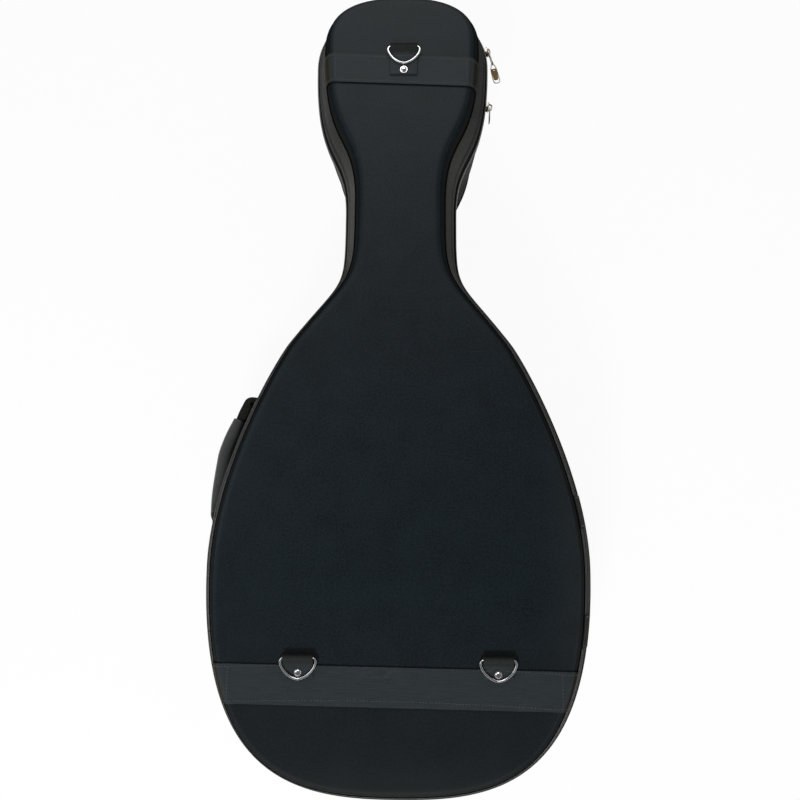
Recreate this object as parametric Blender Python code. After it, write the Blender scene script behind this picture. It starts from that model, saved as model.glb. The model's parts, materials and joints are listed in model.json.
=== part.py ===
"""Pear-shaped foam hard case for an oud, lying on its deep half with the ringed lid up.

+X is the hinge side, +Y the head end and +Z up. The origin is at mid-length on the flat base.
All lengths are in metres and all angles in degrees.
"""

import math

import bmesh
import bpy
from mathutils import Matrix, Vector

# Outline of the case at the zip line
LENGTH = 0.937
BODY_WIDTH = 0.4328
SHOULDER_WIDTH = 0.2600
NECK_WIDTH = 0.1326
HEAD_WIDTH = 0.2111
WIDEST_FROM_TAIL = 0.2460
SHOULDER_FROM_TAIL = 0.5072
NECK_FROM_HEAD_END = 0.2715
HEAD_FROM_HEAD_END = 0.0769
SHOULDER_SLOPE = 52.8

# How far each stretch of the outline leaves and meets its end points straight, as a share of their distance
TAIL_ROUND = (0.32, 0.71)
FLANK_ROUND = (0.40, 0.09)
SHOULDER_ROUND = (0.63, 0.59)
NECK_ROUND = (0.42, 0.70)
HEAD_ROUND = (0.27, 0.67)
STRETCH_STEPS = (9, 6, 6, 6, 8)

# The two halves, measured away from the parting plane
BASE_DEPTH = 0.170
LID_DEPTH = 0.065
BASE_LEAN = 0.010
LID_LEAN = 0.015
EDGE_WIDTH = 0.011
EDGE_DEPTH = 0.017
EDGE_CURVE = ((0.18, 0.44), (0.50, 0.80))

# Thicknesses of the layers, and the gaps between them
CLOTH = 0.0009
PANEL = 0.0012
FOAM_WALL = 0.022
FOAM_FACE = 0.018
PLUSH = 0.0020
CAVITY_FILLET = 0.012
GAP = 0.0003
LAYER_GAP = 0.0004
PARTING_GAP = 0.0004
PIPING_RADIUS = 0.0009

# Zip
TAPE_WIDTH = 0.014
TAPE = 0.0008
COIL_WIDTH = 0.0028
COIL_PROUD = 0.0016
GUSSET_EDGE = 0.011

# Cloth hinge and the patches over the ends of the zip
HINGE_LENGTH = 0.094
PATCH_LENGTH = 0.037
PATCH = 0.0012
PATCH_REACH_LID = 0.043
PATCH_REACH_BASE = 0.024

# Webbing bands across the lid, seen from above: middle, height, tilt and bow
BAND = 0.0015
HEAD_BAND_FROM_HEAD_END = 0.1155
HEAD_BAND_HEIGHT = 0.0365
HEAD_BAND_TILT = -2.2
WAIST_BAND_FROM_TAIL = 0.1295
WAIST_BAND_HEIGHT = 0.0410
WAIST_BAND_TILT = -0.7
WAIST_BAND_BOW = 0.0060

# D-rings and their webbing loops
RING_WIDTH = 0.040
RING_HEIGHT = 0.024
RING_WIRE = 0.0030
RING_CORNER = 0.0040
WAIST_RING_SPACING = 0.208
RING_SHIFT = 0.003
WAIST_RING_ABOVE_BAND = 0.0253
HEAD_RING_ABOVE_BAND = 0.0266
LOOP_WIDTH = 0.029
LOOP_PLY = 0.0010
LOOP_EYE = 0.0028
WAIST_RIVET_DROP = 0.0148
HEAD_RIVET_DROP = 0.0285
RIVET_HEAD_RADIUS = 0.0043
RIVET_SHANK_RADIUS = 0.0018
RIVET_LENGTH = 0.010
TAIL_PAST_RIVET = 0.0052

# Carrying handle on the side away from the hinge
HANDLE_BELOW_ZIP = 0.042
ANCHOR = 0.0042
ANCHOR_TOP_FROM_TAIL = (0.4455, 0.4805)
ANCHOR_LOW_FROM_TAIL = (0.2475, 0.2815)
ANCHOR_REACH = (0.0125, 0.058)

# The handle's stations: distance from the tail, distance out from the zip line, width and thickness
GRIP_STATIONS = (
    (0.4130, 0.0172, 0.0235, 0.0165),
    (0.3950, 0.0170, 0.0260, 0.0200),
    (0.3755, 0.0168, 0.0265, 0.0205),
    (0.3621, 0.0150, 0.0265, 0.0200),
    (0.3310, 0.0108, 0.0255, 0.0178),
    (0.3020, 0.0084, 0.0225, 0.0125),
)
UPPER_STRAP_STATIONS = (
    (0.4449, 0.0022, 0.0240, 0.0030),
    (0.4412, 0.0092, 0.0240, 0.0048),
    (0.4355, 0.0158, 0.0220, 0.0085),
    (0.4255, 0.0182, 0.0200, 0.0100),
    (0.4136, 0.0174, 0.0180, 0.0090),
)
LOWER_STRAP_STATIONS = (
    (0.3013, 0.0083, 0.0180, 0.0065),
    (0.2920, 0.0066, 0.0210, 0.0045),
    (0.2822, 0.0030, 0.0240, 0.0030),
)
HANDLE_SIDES = 12
HANDLE_SQUARENESS = 0.75

# Webbing grab loop on the head end
GRAB_BELOW_ZIP = 0.024
GRAB_WIDTH = 0.025
GRAB = 0.0024
GRAB_ROUTE = (
    (-0.058, 0.0016),
    (-0.036, 0.0016),
    (-0.029, 0.0075),
    (-0.024, 0.020),
    (-0.014, 0.0300),
    (0.0, 0.0330),
)

# Zip sliders on the hinge side of the head
SLIDER_A_FROM_HEAD_END = 0.0540
SLIDER_B_FROM_HEAD_END = 0.1275
SLIDER_LENGTH = 0.011
SLIDER_WIDTH = 0.0088
SLIDER_PLATE = 0.0015
SLIDER_STANDOFF = 0.0028
BRIDGE_WIDTH = 0.0030
BRIDGE_LENGTH = 0.0072
BRIDGE_A_HEIGHT = 0.0036
BRIDGE_B_HEIGHT = 0.0046
BRIDGE_METAL = 0.0012
PULL_WIRE = 0.0014
LINK_LENGTH = 0.017
LINK_WIDTH = 0.0052
PULL_LENGTH = 0.026
PULL_B_LENGTH = 0.0205
PULL_WIDTH = 0.0092
PULL_THICKNESS = 0.0022
PULL_A_OUTWARD = 13.0
PULL_B_OUTWARD = 3.0
PULL_PLATE = 0.0012

# Padded rest for the neck inside the deep half
CRADLE_FROM_HEAD_END = 0.2685
CRADLE_LENGTH = 0.050
CRADLE_TOP_DROP = 0.012
CRADLE_NOTCH_WIDTH = 0.050
CRADLE_NOTCH_DEPTH = 0.045

TAIL_Y = -LENGTH / 2
HEAD_END_Y = LENGTH / 2
HINGE_Y = TAIL_Y + WIDEST_FROM_TAIL
HANDLE_Z = BASE_DEPTH - HANDLE_BELOW_ZIP
GRAB_Z = BASE_DEPTH - GRAB_BELOW_ZIP
MIRROR_X = Vector((-1, 1, 1))
UP = Vector((0, 0, 1))


def clear_scene():
    for obj in list(bpy.data.objects):
        bpy.data.objects.remove(obj, do_unlink=True)


def make_material(name, color, roughness, metallic=0.0):
    material = bpy.data.materials.new(name)
    material.use_nodes = True
    shader = material.node_tree.nodes["Principled BSDF"]
    shader.inputs["Base Color"].default_value = (*color, 1)
    shader.inputs["Roughness"].default_value = roughness
    shader.inputs["Metallic"].default_value = metallic
    return material


clear_scene()
SHELL_CLOTH = make_material("shell_cloth", (0.012, 0.016, 0.018), 0.75)
GUSSET_CLOTH = make_material("gusset_cloth", (0.020, 0.021, 0.021), 0.85)
BLACK_CORD = make_material("black_cord", (0.004, 0.004, 0.004), 0.7)
BAND_CLOTH = make_material("band_cloth", (0.030, 0.034, 0.035), 0.65)
WEBBING = make_material("webbing", (0.018, 0.018, 0.016), 0.8)
LEATHERETTE = make_material("leatherette", (0.05, 0.06, 0.07), 0.45)
FOAM = make_material("foam", (0.30, 0.30, 0.30), 0.9)
PLUSH_CLOTH = make_material("plush", (0.015, 0.015, 0.018), 0.95)
ZIP_NYLON = make_material("zip_nylon", (0.010, 0.010, 0.010), 0.5)
CHROME = make_material("chrome", (0.75, 0.75, 0.76), 0.15, 1.0)
PULL_BROWN = make_material("pull_brown", (0.20, 0.13, 0.06), 0.5)


def bezier(start, start_pull, end_pull, end, steps):
    """Points from start up to, but not at, end."""
    points = []
    for step in range(steps):
        t = step / steps
        u = 1 - t
        points.append(start * u**3 + start_pull * 3 * t * u**2 + end_pull * 3 * t**2 * u + end * t**3)
    return points


def smooth_route(stations, steps):
    """A Catmull-Rom curve through stations, with steps points on each stretch."""
    ends = [stations[0] * 2 - stations[1], *stations, stations[-1] * 2 - stations[-2]]
    points = []
    for a, b, c, d in zip(ends, ends[1:], ends[2:], ends[3:]):
        points += bezier(b, b + (c - a) / 6, c - (d - b) / 6, c, steps)
    return [*points, stations[-1]]


def right_side():
    """The right half of the outline, from the tail's middle to the head end's middle."""
    slope = math.radians(SHOULDER_SLOPE)
    up_shoulder = Vector((-math.cos(slope), math.sin(slope), 0))
    stations = [
        (Vector((0, TAIL_Y, 0)), Vector((1, 0, 0))),
        (Vector((BODY_WIDTH / 2, TAIL_Y + WIDEST_FROM_TAIL, 0)), Vector((0, 1, 0))),
        (Vector((SHOULDER_WIDTH / 2, TAIL_Y + SHOULDER_FROM_TAIL, 0)), up_shoulder),
        (Vector((NECK_WIDTH / 2, HEAD_END_Y - NECK_FROM_HEAD_END, 0)), Vector((0, 1, 0))),
        (Vector((HEAD_WIDTH / 2, HEAD_END_Y - HEAD_FROM_HEAD_END, 0)), Vector((0, 1, 0))),
        (Vector((0, HEAD_END_Y, 0)), Vector((-1, 0, 0))),
    ]
    rounds = (TAIL_ROUND, FLANK_ROUND, SHOULDER_ROUND, NECK_ROUND, HEAD_ROUND)
    points = []
    for (a, leave), (b, meet), (near, far), steps in zip(stations, stations[1:], rounds, STRETCH_STEPS):
        reach = (b - a).length
        points += bezier(a, a + leave * near * reach, b - meet * far * reach, b, steps)
    return [*points, stations[-1][0]]


def closed_outline():
    """(point, outward normal) all the way round, from the tail's middle up the right side and down the left."""
    right = right_side()
    points = right + [point * MIRROR_X for point in reversed(right[1:-1])]
    pairs = []
    for index, point in enumerate(points):
        along = points[(index + 1) % len(points)] - points[index - 1]
        pairs.append((point, Vector((along.y, -along.x, 0)).normalized()))
    return pairs


OUTLINE = closed_outline()


def between(first, second, share):
    return tuple(a.lerp(b, share) for a, b in zip(first, second))


def at_y(y, side=1):
    """(point, outward normal) of the body's or head's edge at y, on the right (1) or the left (-1)."""
    half = OUTLINE[: len(OUTLINE) // 2 + 1]
    for first, second in zip(half, half[1:]):
        if first[0].y <= y <= second[0].y:
            point, normal = between(first, second, (y - first[0].y) / (second[0].y - first[0].y))
            break
    return (point, normal) if side > 0 else (point * MIRROR_X, normal * MIRROR_X)


def at_head_end(x):
    """(point, outward normal) of the head end's edge at x."""
    half = OUTLINE[: len(OUTLINE) // 2 + 1]
    for first, second in zip(reversed(half), reversed(half[:-1])):
        if first[0].x <= abs(x) <= second[0].x:
            point, normal = between(first, second, (abs(x) - first[0].x) / (second[0].x - first[0].x))
            break
    return (point, normal) if x >= 0 else (point * MIRROR_X, normal * MIRROR_X)


def side_span(low_y, high_y, side):
    """The stretch of the outline between two heights on one side, from low_y up to high_y."""
    half = OUTLINE[: len(OUTLINE) // 2 + 1]
    inner = [pair for pair in half if low_y < pair[0].y < high_y]
    if side < 0:
        inner = [(point * MIRROR_X, normal * MIRROR_X) for point, normal in inner]
    return [at_y(low_y, side), *inner, at_y(high_y, side)]


def zip_span(low_y, high_y):
    """The outline without the stretch between low_y and high_y on the right side."""
    half_count = len(OUTLINE) // 2
    above = [pair for pair in OUTLINE[:half_count] if pair[0].y > high_y]
    left = OUTLINE[half_count:]
    below = [pair for pair in OUTLINE[:half_count] if pair[0].y < low_y]
    return [at_y(high_y), *above, *left, *below, at_y(low_y)]


def add_object(name, bm, material, origin=Vector()):
    """Finishes a mesh built in world coordinates, with its object's origin where it is wanted."""
    bmesh.ops.recalc_face_normals(bm, faces=bm.faces)
    bmesh.ops.translate(bm, verts=bm.verts, vec=-origin)
    mesh = bpy.data.meshes.new(name)
    bm.to_mesh(mesh)
    bm.free()
    obj = bpy.data.objects.new(name, mesh)
    obj.location = origin
    bpy.context.scene.collection.objects.link(obj)
    if material:
        mesh.materials.append(material)
        mesh.shade_smooth()
        mesh.set_sharp_from_angle(angle=math.radians(35))
    else:
        obj.hide_render = True
        obj.display_type = "WIRE"
    return obj


def combine(obj, other, operation):
    """Adds a live Boolean with a hidden helper, which moves with obj."""
    modifier = obj.modifiers.new(f"{operation.lower()}_{other.name}", "BOOLEAN")
    modifier.operation = operation
    modifier.object = other
    modifier.solver = "EXACT"


def skin(bm, rings, closed_rings, closed_chain):
    """Faces between consecutive rings of vertices. Open rings get a face at each end of the chain's section."""
    count = len(rings[0])
    chain = list(zip(rings, rings[1:]))
    if closed_chain:
        chain.append((rings[-1], rings[0]))
    for lower, upper in chain:
        for index in range(count if closed_rings else count - 1):
            following = (index + 1) % count
            bm.faces.new((lower[index], lower[following], upper[following], upper[index]))
    if closed_chain and not closed_rings:
        bm.faces.new([ring[0] for ring in rings])
        bm.faces.new([ring[-1] for ring in rings])
    if not closed_chain:
        bm.faces.new(rings[0])
        bm.faces.new(rings[-1])


def level_ring(bm, span, inset, z):
    return [bm.verts.new(point - normal * inset + UP * z) for point, normal in span]


def hoop(name, section, material, span=None):
    """A closed section of (inset, z) points carried round the outline, or along a span of it."""
    bm = bmesh.new()
    rings = [level_ring(bm, span or OUTLINE, inset, z) for inset, z in section]
    skin(bm, rings, closed_rings=span is None, closed_chain=True)
    return add_object(name, bm, material)


def dish(name, section, material):
    """A tray whose section runs from one flat face's edge, out round the rim, to the other face's edge."""
    bm = bmesh.new()
    rings = [level_ring(bm, OUTLINE, inset, z) for inset, z in section]
    skin(bm, rings, closed_rings=True, closed_chain=False)
    return add_object(name, bm, material)


def extruded(name, corners, reach, material, origin=Vector()):
    """A flat outline given depth along reach."""
    bm = bmesh.new()
    face = bm.faces.new([bm.verts.new(corner) for corner in corners])
    grown = bmesh.ops.extrude_face_region(bm, geom=[face])["geom"]
    moved = [item for item in grown if isinstance(item, bmesh.types.BMVert)]
    bmesh.ops.translate(bm, verts=moved, vec=reach)
    return add_object(name, bm, material, origin)


def turned(name, profile, center, material, steps=12):
    """A round piece about a vertical line through center, from (radius, height) points that end on it."""
    bm = bmesh.new()
    verts = [bm.verts.new(center + Vector((radius, 0, height))) for radius, height in profile]
    edges = [bm.edges.new(pair) for pair in zip(verts, verts[1:])]
    spun = {"cent": center, "axis": UP, "angle": math.tau, "steps": steps, "use_merge": True}
    bmesh.ops.spin(bm, geom=verts + edges, **spun)
    bmesh.ops.remove_doubles(bm, verts=bm.verts, dist=1e-6)
    return add_object(name, bm, material, center)


def post(name, center, radius, low, high, steps=12):
    """A hidden round cutter."""
    return turned(name, ((0, low), (radius, low), (radius, high), (0, high)), center, None, steps)


def rounded(value, squareness):
    """A sine or cosine moved towards -1 or 1, which makes an oval's section squarer."""
    return math.copysign(abs(value) ** squareness, value)


def strap(name, route, sizes, z, material, corners, squareness):
    """A bar whose middle follows a level route, with its (width, thickness) given at each point."""
    bm = bmesh.new()
    rings = []
    for index, (point, (width, thickness)) in enumerate(zip(route, sizes)):
        along = (route[min(index + 1, len(route) - 1)] - route[max(index - 1, 0)]).normalized()
        across = Vector((along.y, -along.x, 0))
        ring = []
        for corner in range(corners):
            turn = math.tau * (corner + 0.5) / corners
            side = rounded(math.cos(turn), squareness) * thickness / 2
            rise = rounded(math.sin(turn), squareness) * width / 2
            ring.append(bm.verts.new(point + across * side + UP * (z + rise)))
        rings.append(ring)
    skin(bm, rings, closed_rings=True, closed_chain=False)
    return add_object(name, bm, material)


def wire_loop(name, points, radius, origin, turn, material):
    """A closed ring of round wire through points given about its own origin."""
    curve = bpy.data.curves.new(name, "CURVE")
    curve.dimensions = "3D"
    curve.twist_mode = "Z_UP"
    curve.bevel_depth = radius
    curve.bevel_resolution = 2
    spline = curve.splines.new("POLY")
    spline.points.add(len(points) - 1)
    for slot, point in zip(spline.points, points):
        slot.co = (*point, 1)
    spline.use_cyclic_u = True
    curve.materials.append(material)
    obj = bpy.data.objects.new(name, curve)
    obj.matrix_world = Matrix.Translation(origin) @ turn
    bpy.context.scene.collection.objects.link(obj)
    return obj


def arc(center, radii, start, end, steps):
    """Points on an ellipse in the XY plane, from start to end degrees."""
    points = []
    for step in range(steps + 1):
        turn = math.radians(start + (end - start) * step / steps)
        points.append(Vector((center[0] + radii[0] * math.cos(turn), center[1] + radii[1] * math.sin(turn), 0)))
    return points


def inside(path, distance):
    """A section path moved towards the foam by distance, with mitred corners."""
    moved = []
    for index, point in enumerate(path):
        normals = []
        for a, b in ((index - 1, index), (index, index + 1)):
            if a >= 0 and b < len(path):
                step = (path[b] - path[a]).normalized()
                normals.append(Vector((step.y, -step.x)))
        middle = sum(normals, Vector((0, 0))).normalized()
        moved.append(point + middle * distance / middle.dot(normals[0]))
    return moved


class Half:
    """One half of the case. Its sections are (inset from the zip line, height from the parting plane)."""

    def __init__(self, name, depth, lean, direction):
        self.name = name
        self.depth = depth
        self.lean = lean
        self.direction = direction
        self.seam = depth - EDGE_DEPTH

    def placed(self, section):
        return [(inset, BASE_DEPTH + self.direction * height) for inset, height in section]

    def wall(self, height, offset=0.0):
        """A point on the side wall, offset towards the foam."""
        return Vector((self.lean * height / self.seam + offset, height))

    def edge(self):
        """The rounded edge, from the seam to the flat face."""
        curve = [(0, 0), *EDGE_CURVE, (1, 1)]
        return [Vector((self.lean + EDGE_WIDTH * across, self.seam + EDGE_DEPTH * up)) for across, up in curve]

    def skin_path(self):
        """The outer face of the cloth, from the parting plane to well inside the flat face."""
        edge = self.edge()
        return [self.wall(0), *edge, edge[-1] + Vector((EDGE_WIDTH, 0))]

    def panel_paths(self, near, far):
        """The edge stretch of two faces at the offsets near and far, kept clear of the seam cord."""
        paths = []
        for offset in (near, far):
            path = inside(self.skin_path(), offset)[1:-1]
            path[0] = path[0].lerp(path[1], (PIPING_RADIUS + LAYER_GAP) / (path[1] - path[0]).length)
            paths.append(path)
        return paths

    def panel(self):
        outer, inner = self.panel_paths(0, PANEL)
        return dish(f"{self.name}_face_panel", self.placed([*reversed(outer), *inner]), SHELL_CLOTH)

    def gusset(self):
        top = self.seam - PIPING_RADIUS - LAYER_GAP
        section = [self.wall(GUSSET_EDGE), self.wall(top), self.wall(top, CLOTH), self.wall(GUSSET_EDGE, CLOTH)]
        return hoop(f"{self.name}_side_gusset", self.placed(section), GUSSET_CLOTH)

    def piping(self):
        center = self.wall(self.seam)
        section = []
        for corner in range(5):
            turn = math.tau * corner / 5
            section.append(center + Vector((math.cos(turn), math.sin(turn))) * PIPING_RADIUS)
        return hoop(f"{self.name}_seam_piping", self.placed(section), BLACK_CORD)

    def zip_parts(self, span):
        under = CLOTH + GAP
        tape = [
            self.wall(PARTING_GAP, under),
            self.wall(TAPE_WIDTH, under),
            self.wall(TAPE_WIDTH, under + TAPE),
            self.wall(PARTING_GAP, under + TAPE),
        ]
        hoop(f"{self.name}_zip_tape", self.placed(tape), ZIP_NYLON, span)
        far = PARTING_GAP + COIL_WIDTH
        coil = [
            Vector((-COIL_PROUD, PARTING_GAP)),
            Vector((-COIL_PROUD, far - COIL_WIDTH / 3)),
            Vector((under - GAP, far)),
            Vector((under - GAP, PARTING_GAP)),
        ]
        hoop(f"{self.name}_zip_coil", self.placed(coil), ZIP_NYLON, span)

    def cavity(self, offset, start):
        """The cavity's face in the foam, or offset into the cavity, from the rim at height start."""
        ceiling = self.depth - FOAM_FACE
        fillet = self.wall(ceiling - CAVITY_FILLET, FOAM_WALL)
        path = [self.wall(start, FOAM_WALL), fillet, Vector((fillet.x + CAVITY_FILLET, ceiling))]
        path.append(path[-1] + Vector((CAVITY_FILLET, 0)))
        return inside(path, offset)[:-1]

    def rim(self):
        """Height of the lining's face at the rim."""
        return PARTING_GAP + GAP

    def foam(self):
        under_tape = CLOTH + GAP + TAPE + LAYER_GAP
        start = self.rim() + PLUSH + GAP
        step = TAPE_WIDTH + LAYER_GAP
        outer = inside(self.skin_path(), PANEL + LAYER_GAP)[1:-1]
        section = [
            *reversed(outer),
            self.wall(step + LAYER_GAP, CLOTH + LAYER_GAP),
            self.wall(step, under_tape),
            self.wall(start, under_tape),
            *self.cavity(0, start),
        ]
        return dish(f"{self.name}_foam_shell", self.placed(section), FOAM)

    def lining(self):
        flange = CLOTH + GAP + TAPE + LAYER_GAP
        low, high = self.rim(), self.rim() + PLUSH
        back = self.cavity(GAP, high)
        face = self.cavity(GAP + PLUSH, low)
        section = [*reversed(back), self.wall(high, flange), self.wall(low, flange), *face]
        return dish(f"{self.name}_lining", self.placed(section), PLUSH_CLOTH)

    def face_z(self):
        return BASE_DEPTH + self.direction * self.depth


BASE = Half("base", BASE_DEPTH, BASE_LEAN, -1)
LID = Half("lid", LID_DEPTH, LID_LEAN, 1)
FACE_Z = LID.face_z()
BAND_TOP = FACE_Z + GAP + BAND


def build_halves():
    cloth_end = HINGE_LENGTH / 2 + PATCH_LENGTH
    span = zip_span(HINGE_Y - cloth_end - GAP, HINGE_Y + cloth_end + GAP)
    built = {}
    for half in (BASE, LID):
        built[half.name] = (half.panel(), half.foam())
        half.gusset()
        half.piping()
        half.zip_parts(span)
        half.lining()
    return built


def build_cloth_hinge():
    """The cloth that joins the halves on the right, flush between the gussets, and the patches on its ends."""
    half_length = HINGE_LENGTH / 2
    reach = GUSSET_EDGE - GAP
    section = BASE.placed([BASE.wall(reach), BASE.wall(reach, CLOTH)]) + [(CLOTH, BASE_DEPTH)]
    section += LID.placed([LID.wall(reach, CLOTH), LID.wall(reach)]) + [(0, BASE_DEPTH)]
    whole = side_span(HINGE_Y - half_length - PATCH_LENGTH, HINGE_Y + half_length + PATCH_LENGTH, 1)
    hoop("hinge_cloth", section, GUSSET_CLOTH, whole)
    faces = [-GAP, -GAP - PATCH]
    low_edge = BASE.placed([BASE.wall(PATCH_REACH_BASE, offset) for offset in faces])
    high_edge = LID.placed([LID.wall(PATCH_REACH_LID, offset) for offset in reversed(faces)])
    section = [*low_edge, (faces[1], BASE_DEPTH), *high_edge, (faces[0], BASE_DEPTH)]
    spans = {
        "zip_end_patch_upper": (HINGE_Y + half_length, HINGE_Y + half_length + PATCH_LENGTH),
        "zip_end_patch_lower": (HINGE_Y - half_length - PATCH_LENGTH, HINGE_Y - half_length),
    }
    for name, (low, high) in spans.items():
        hoop(name, section, WEBBING, side_span(low, high, 1))


def band_edge(middle_y, tilt, bow, rise, reach):
    """One long edge of a band: a bowed and tilted line from side to side."""
    slope = math.tan(math.radians(tilt))
    points = []
    for step in range(-3, 4):
        share = step / 3
        x = share * reach
        points.append(Vector((x, middle_y + rise + x * slope - bow * share**2, 0)))
    return points


def build_band(name, middle_y, height, tilt, bow, reach):
    outer, inner = LID.panel_paths(-GAP - BAND, -GAP)
    band = dish(name, LID.placed([*reversed(outer), *inner]), BAND_CLOTH)
    corners = band_edge(middle_y, tilt, bow, height / 2, reach)
    corners += reversed(band_edge(middle_y, tilt, bow, -height / 2, reach))
    low = Vector((0, 0, FACE_Z - LID_DEPTH))
    prism = extruded(f"{name}_outline", [corner + low for corner in corners], UP * LID_DEPTH * 2, None)
    combine(band, prism, "INTERSECT")
    return band


def loop_profile(tail):
    """(y, z) points of a webbing loop about its ring's bar, with both plies running down to the tail."""
    radius = LOOP_EYE + LOOP_PLY
    points = [(-tail, 0)]
    for step in range(9):
        turn = math.radians(-90 + 30 * step)
        if step <= 7:
            points.append((radius * math.cos(turn), radius + radius * math.sin(turn)))
    points.append((-radius * 1.7, LOOP_PLY * 2))
    points.append((-tail, LOOP_PLY * 2))
    return points


def build_ring(name, x, y, rivet_drop, below):
    """A D-ring with its bar at x, y, its webbing loop, and a rivet that goes through what below lists."""
    floor_z = BAND_TOP + GAP
    bar = Vector((x, y, floor_z + LOOP_EYE + LOOP_PLY))
    tail = rivet_drop + TAIL_PAST_RIVET
    side = Vector((-LOOP_WIDTH / 2, 0, 0))
    corners = [Vector((x, y + dy, floor_z + dz)) + side for dy, dz in loop_profile(tail)]
    loop = extruded(f"{name}_webbing_loop", corners, Vector((LOOP_WIDTH, 0, 0)), WEBBING)
    eye = []
    for step in range(12):
        turn = math.tau * step / 12
        eye.append(bar + Vector((-LOOP_WIDTH, LOOP_EYE * math.cos(turn), LOOP_EYE * math.sin(turn))))
    combine(loop, extruded(f"{name}_eye", eye, Vector((LOOP_WIDTH * 2, 0, 0)), None), "DIFFERENCE")

    wire = RING_WIRE / 2
    half_width = RING_WIDTH / 2 - wire
    drop = RING_HEIGHT - RING_WIRE - RING_CORNER
    points = arc((half_width - RING_CORNER, -RING_CORNER), (RING_CORNER, RING_CORNER), 90, 0, 3)
    points += arc((0, -RING_CORNER), (half_width, drop), 0, -180, 14)[1:]
    points += arc((RING_CORNER - half_width, -RING_CORNER), (RING_CORNER, RING_CORNER), 180, 90, 3)[1:]
    wire_loop(f"{name}_d_ring", points, wire, bar, Matrix.Identity(4), CHROME)

    center = Vector((x, y - rivet_drop, floor_z + LOOP_PLY * 2 + GAP))
    head = RIVET_HEAD_RADIUS
    profile = [(0, 0.40 * head), (0.55 * head, 0.33 * head), (0.88 * head, 0.16 * head), (head, 0)]
    profile += [(RIVET_SHANK_RADIUS, 0), (RIVET_SHANK_RADIUS, -RIVET_LENGTH), (0, -RIVET_LENGTH)]
    turned(f"{name}_rivet", profile, center, CHROME)
    hole = post(f"{name}_hole", center, RIVET_SHANK_RADIUS + LAYER_GAP, -RIVET_LENGTH - LAYER_GAP, RIVET_LENGTH)
    for obj in (loop, *below):
        combine(obj, hole, "DIFFERENCE")


def build_lid_hardware(lid_panel, lid_foam):
    head_y = HEAD_END_Y - HEAD_BAND_FROM_HEAD_END
    head_band = build_band("head_band", head_y, HEAD_BAND_HEIGHT, HEAD_BAND_TILT, 0, HEAD_WIDTH / 2)
    below = (head_band, lid_panel, lid_foam)
    build_ring("head", RING_SHIFT, head_y + HEAD_RING_ABOVE_BAND, HEAD_RIVET_DROP, below)

    waist_y = TAIL_Y + WAIST_BAND_FROM_TAIL
    shape = (WAIST_BAND_HEIGHT, WAIST_BAND_TILT, WAIST_BAND_BOW, BODY_WIDTH / 2)
    waist_band = build_band("waist_band", waist_y, *shape)
    below = (waist_band, lid_panel, lid_foam)
    for name, side in (("waist_left", -1), ("waist_right", 1)):
        x = side * WAIST_RING_SPACING / 2 + RING_SHIFT
        build_ring(name, x, waist_y + WAIST_RING_ABOVE_BAND, WAIST_RIVET_DROP, below)


def handle_piece(name, stations, material):
    """A piece of the handle through its stations, on the left side."""
    points, sizes = [], []
    for from_tail, out, width, thickness in stations:
        point, normal = at_y(TAIL_Y + from_tail, -1)
        points.append(point + normal * out)
        sizes.append(Vector((width, thickness)))
    route, sizes = smooth_route(points, 2), smooth_route(sizes, 2)
    strap(name, route, sizes, HANDLE_Z, material, HANDLE_SIDES, HANDLE_SQUARENESS)


def build_handle():
    anchors = {"handle_anchor_upper": ANCHOR_TOP_FROM_TAIL, "handle_anchor_lower": ANCHOR_LOW_FROM_TAIL}
    inner, outer = -GAP, -GAP - ANCHOR
    low_reach, high_reach = ANCHOR_REACH
    corners = ((low_reach, inner), (high_reach, inner), (high_reach, outer), (low_reach, outer))
    section = BASE.placed([BASE.wall(height, offset) for height, offset in corners])
    for name, (low, high) in anchors.items():
        hoop(name, section, WEBBING, side_span(TAIL_Y + low, TAIL_Y + high, -1))
    handle_piece("handle_grip", GRIP_STATIONS, LEATHERETTE)
    handle_piece("handle_strap_upper", UPPER_STRAP_STATIONS, WEBBING)
    handle_piece("handle_strap_lower", LOWER_STRAP_STATIONS, WEBBING)


def build_grab_loop():
    points = []
    for x, out in GRAB_ROUTE:
        point, normal = at_head_end(x)
        points.append(point + normal * out)
    route = smooth_route([*points, *[point * MIRROR_X for point in reversed(points[:-1])]], 2)
    strap("head_grab_loop", route, [(GRAB_WIDTH, GRAB)] * len(route), GRAB_Z, WEBBING, 4, 0)


def slider_frame(y):
    """Matrix with its origin on the zip line at y, X pointing away from the wall and Y along the zip."""
    point, normal = at_y(y)
    turn = Matrix.Rotation(math.atan2(normal.y, normal.x), 4, "Z")
    return Matrix.Translation(point + UP * BASE_DEPTH) @ turn


def placed_corners(frame, corners):
    return [frame @ Vector(corner) for corner in corners]


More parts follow.
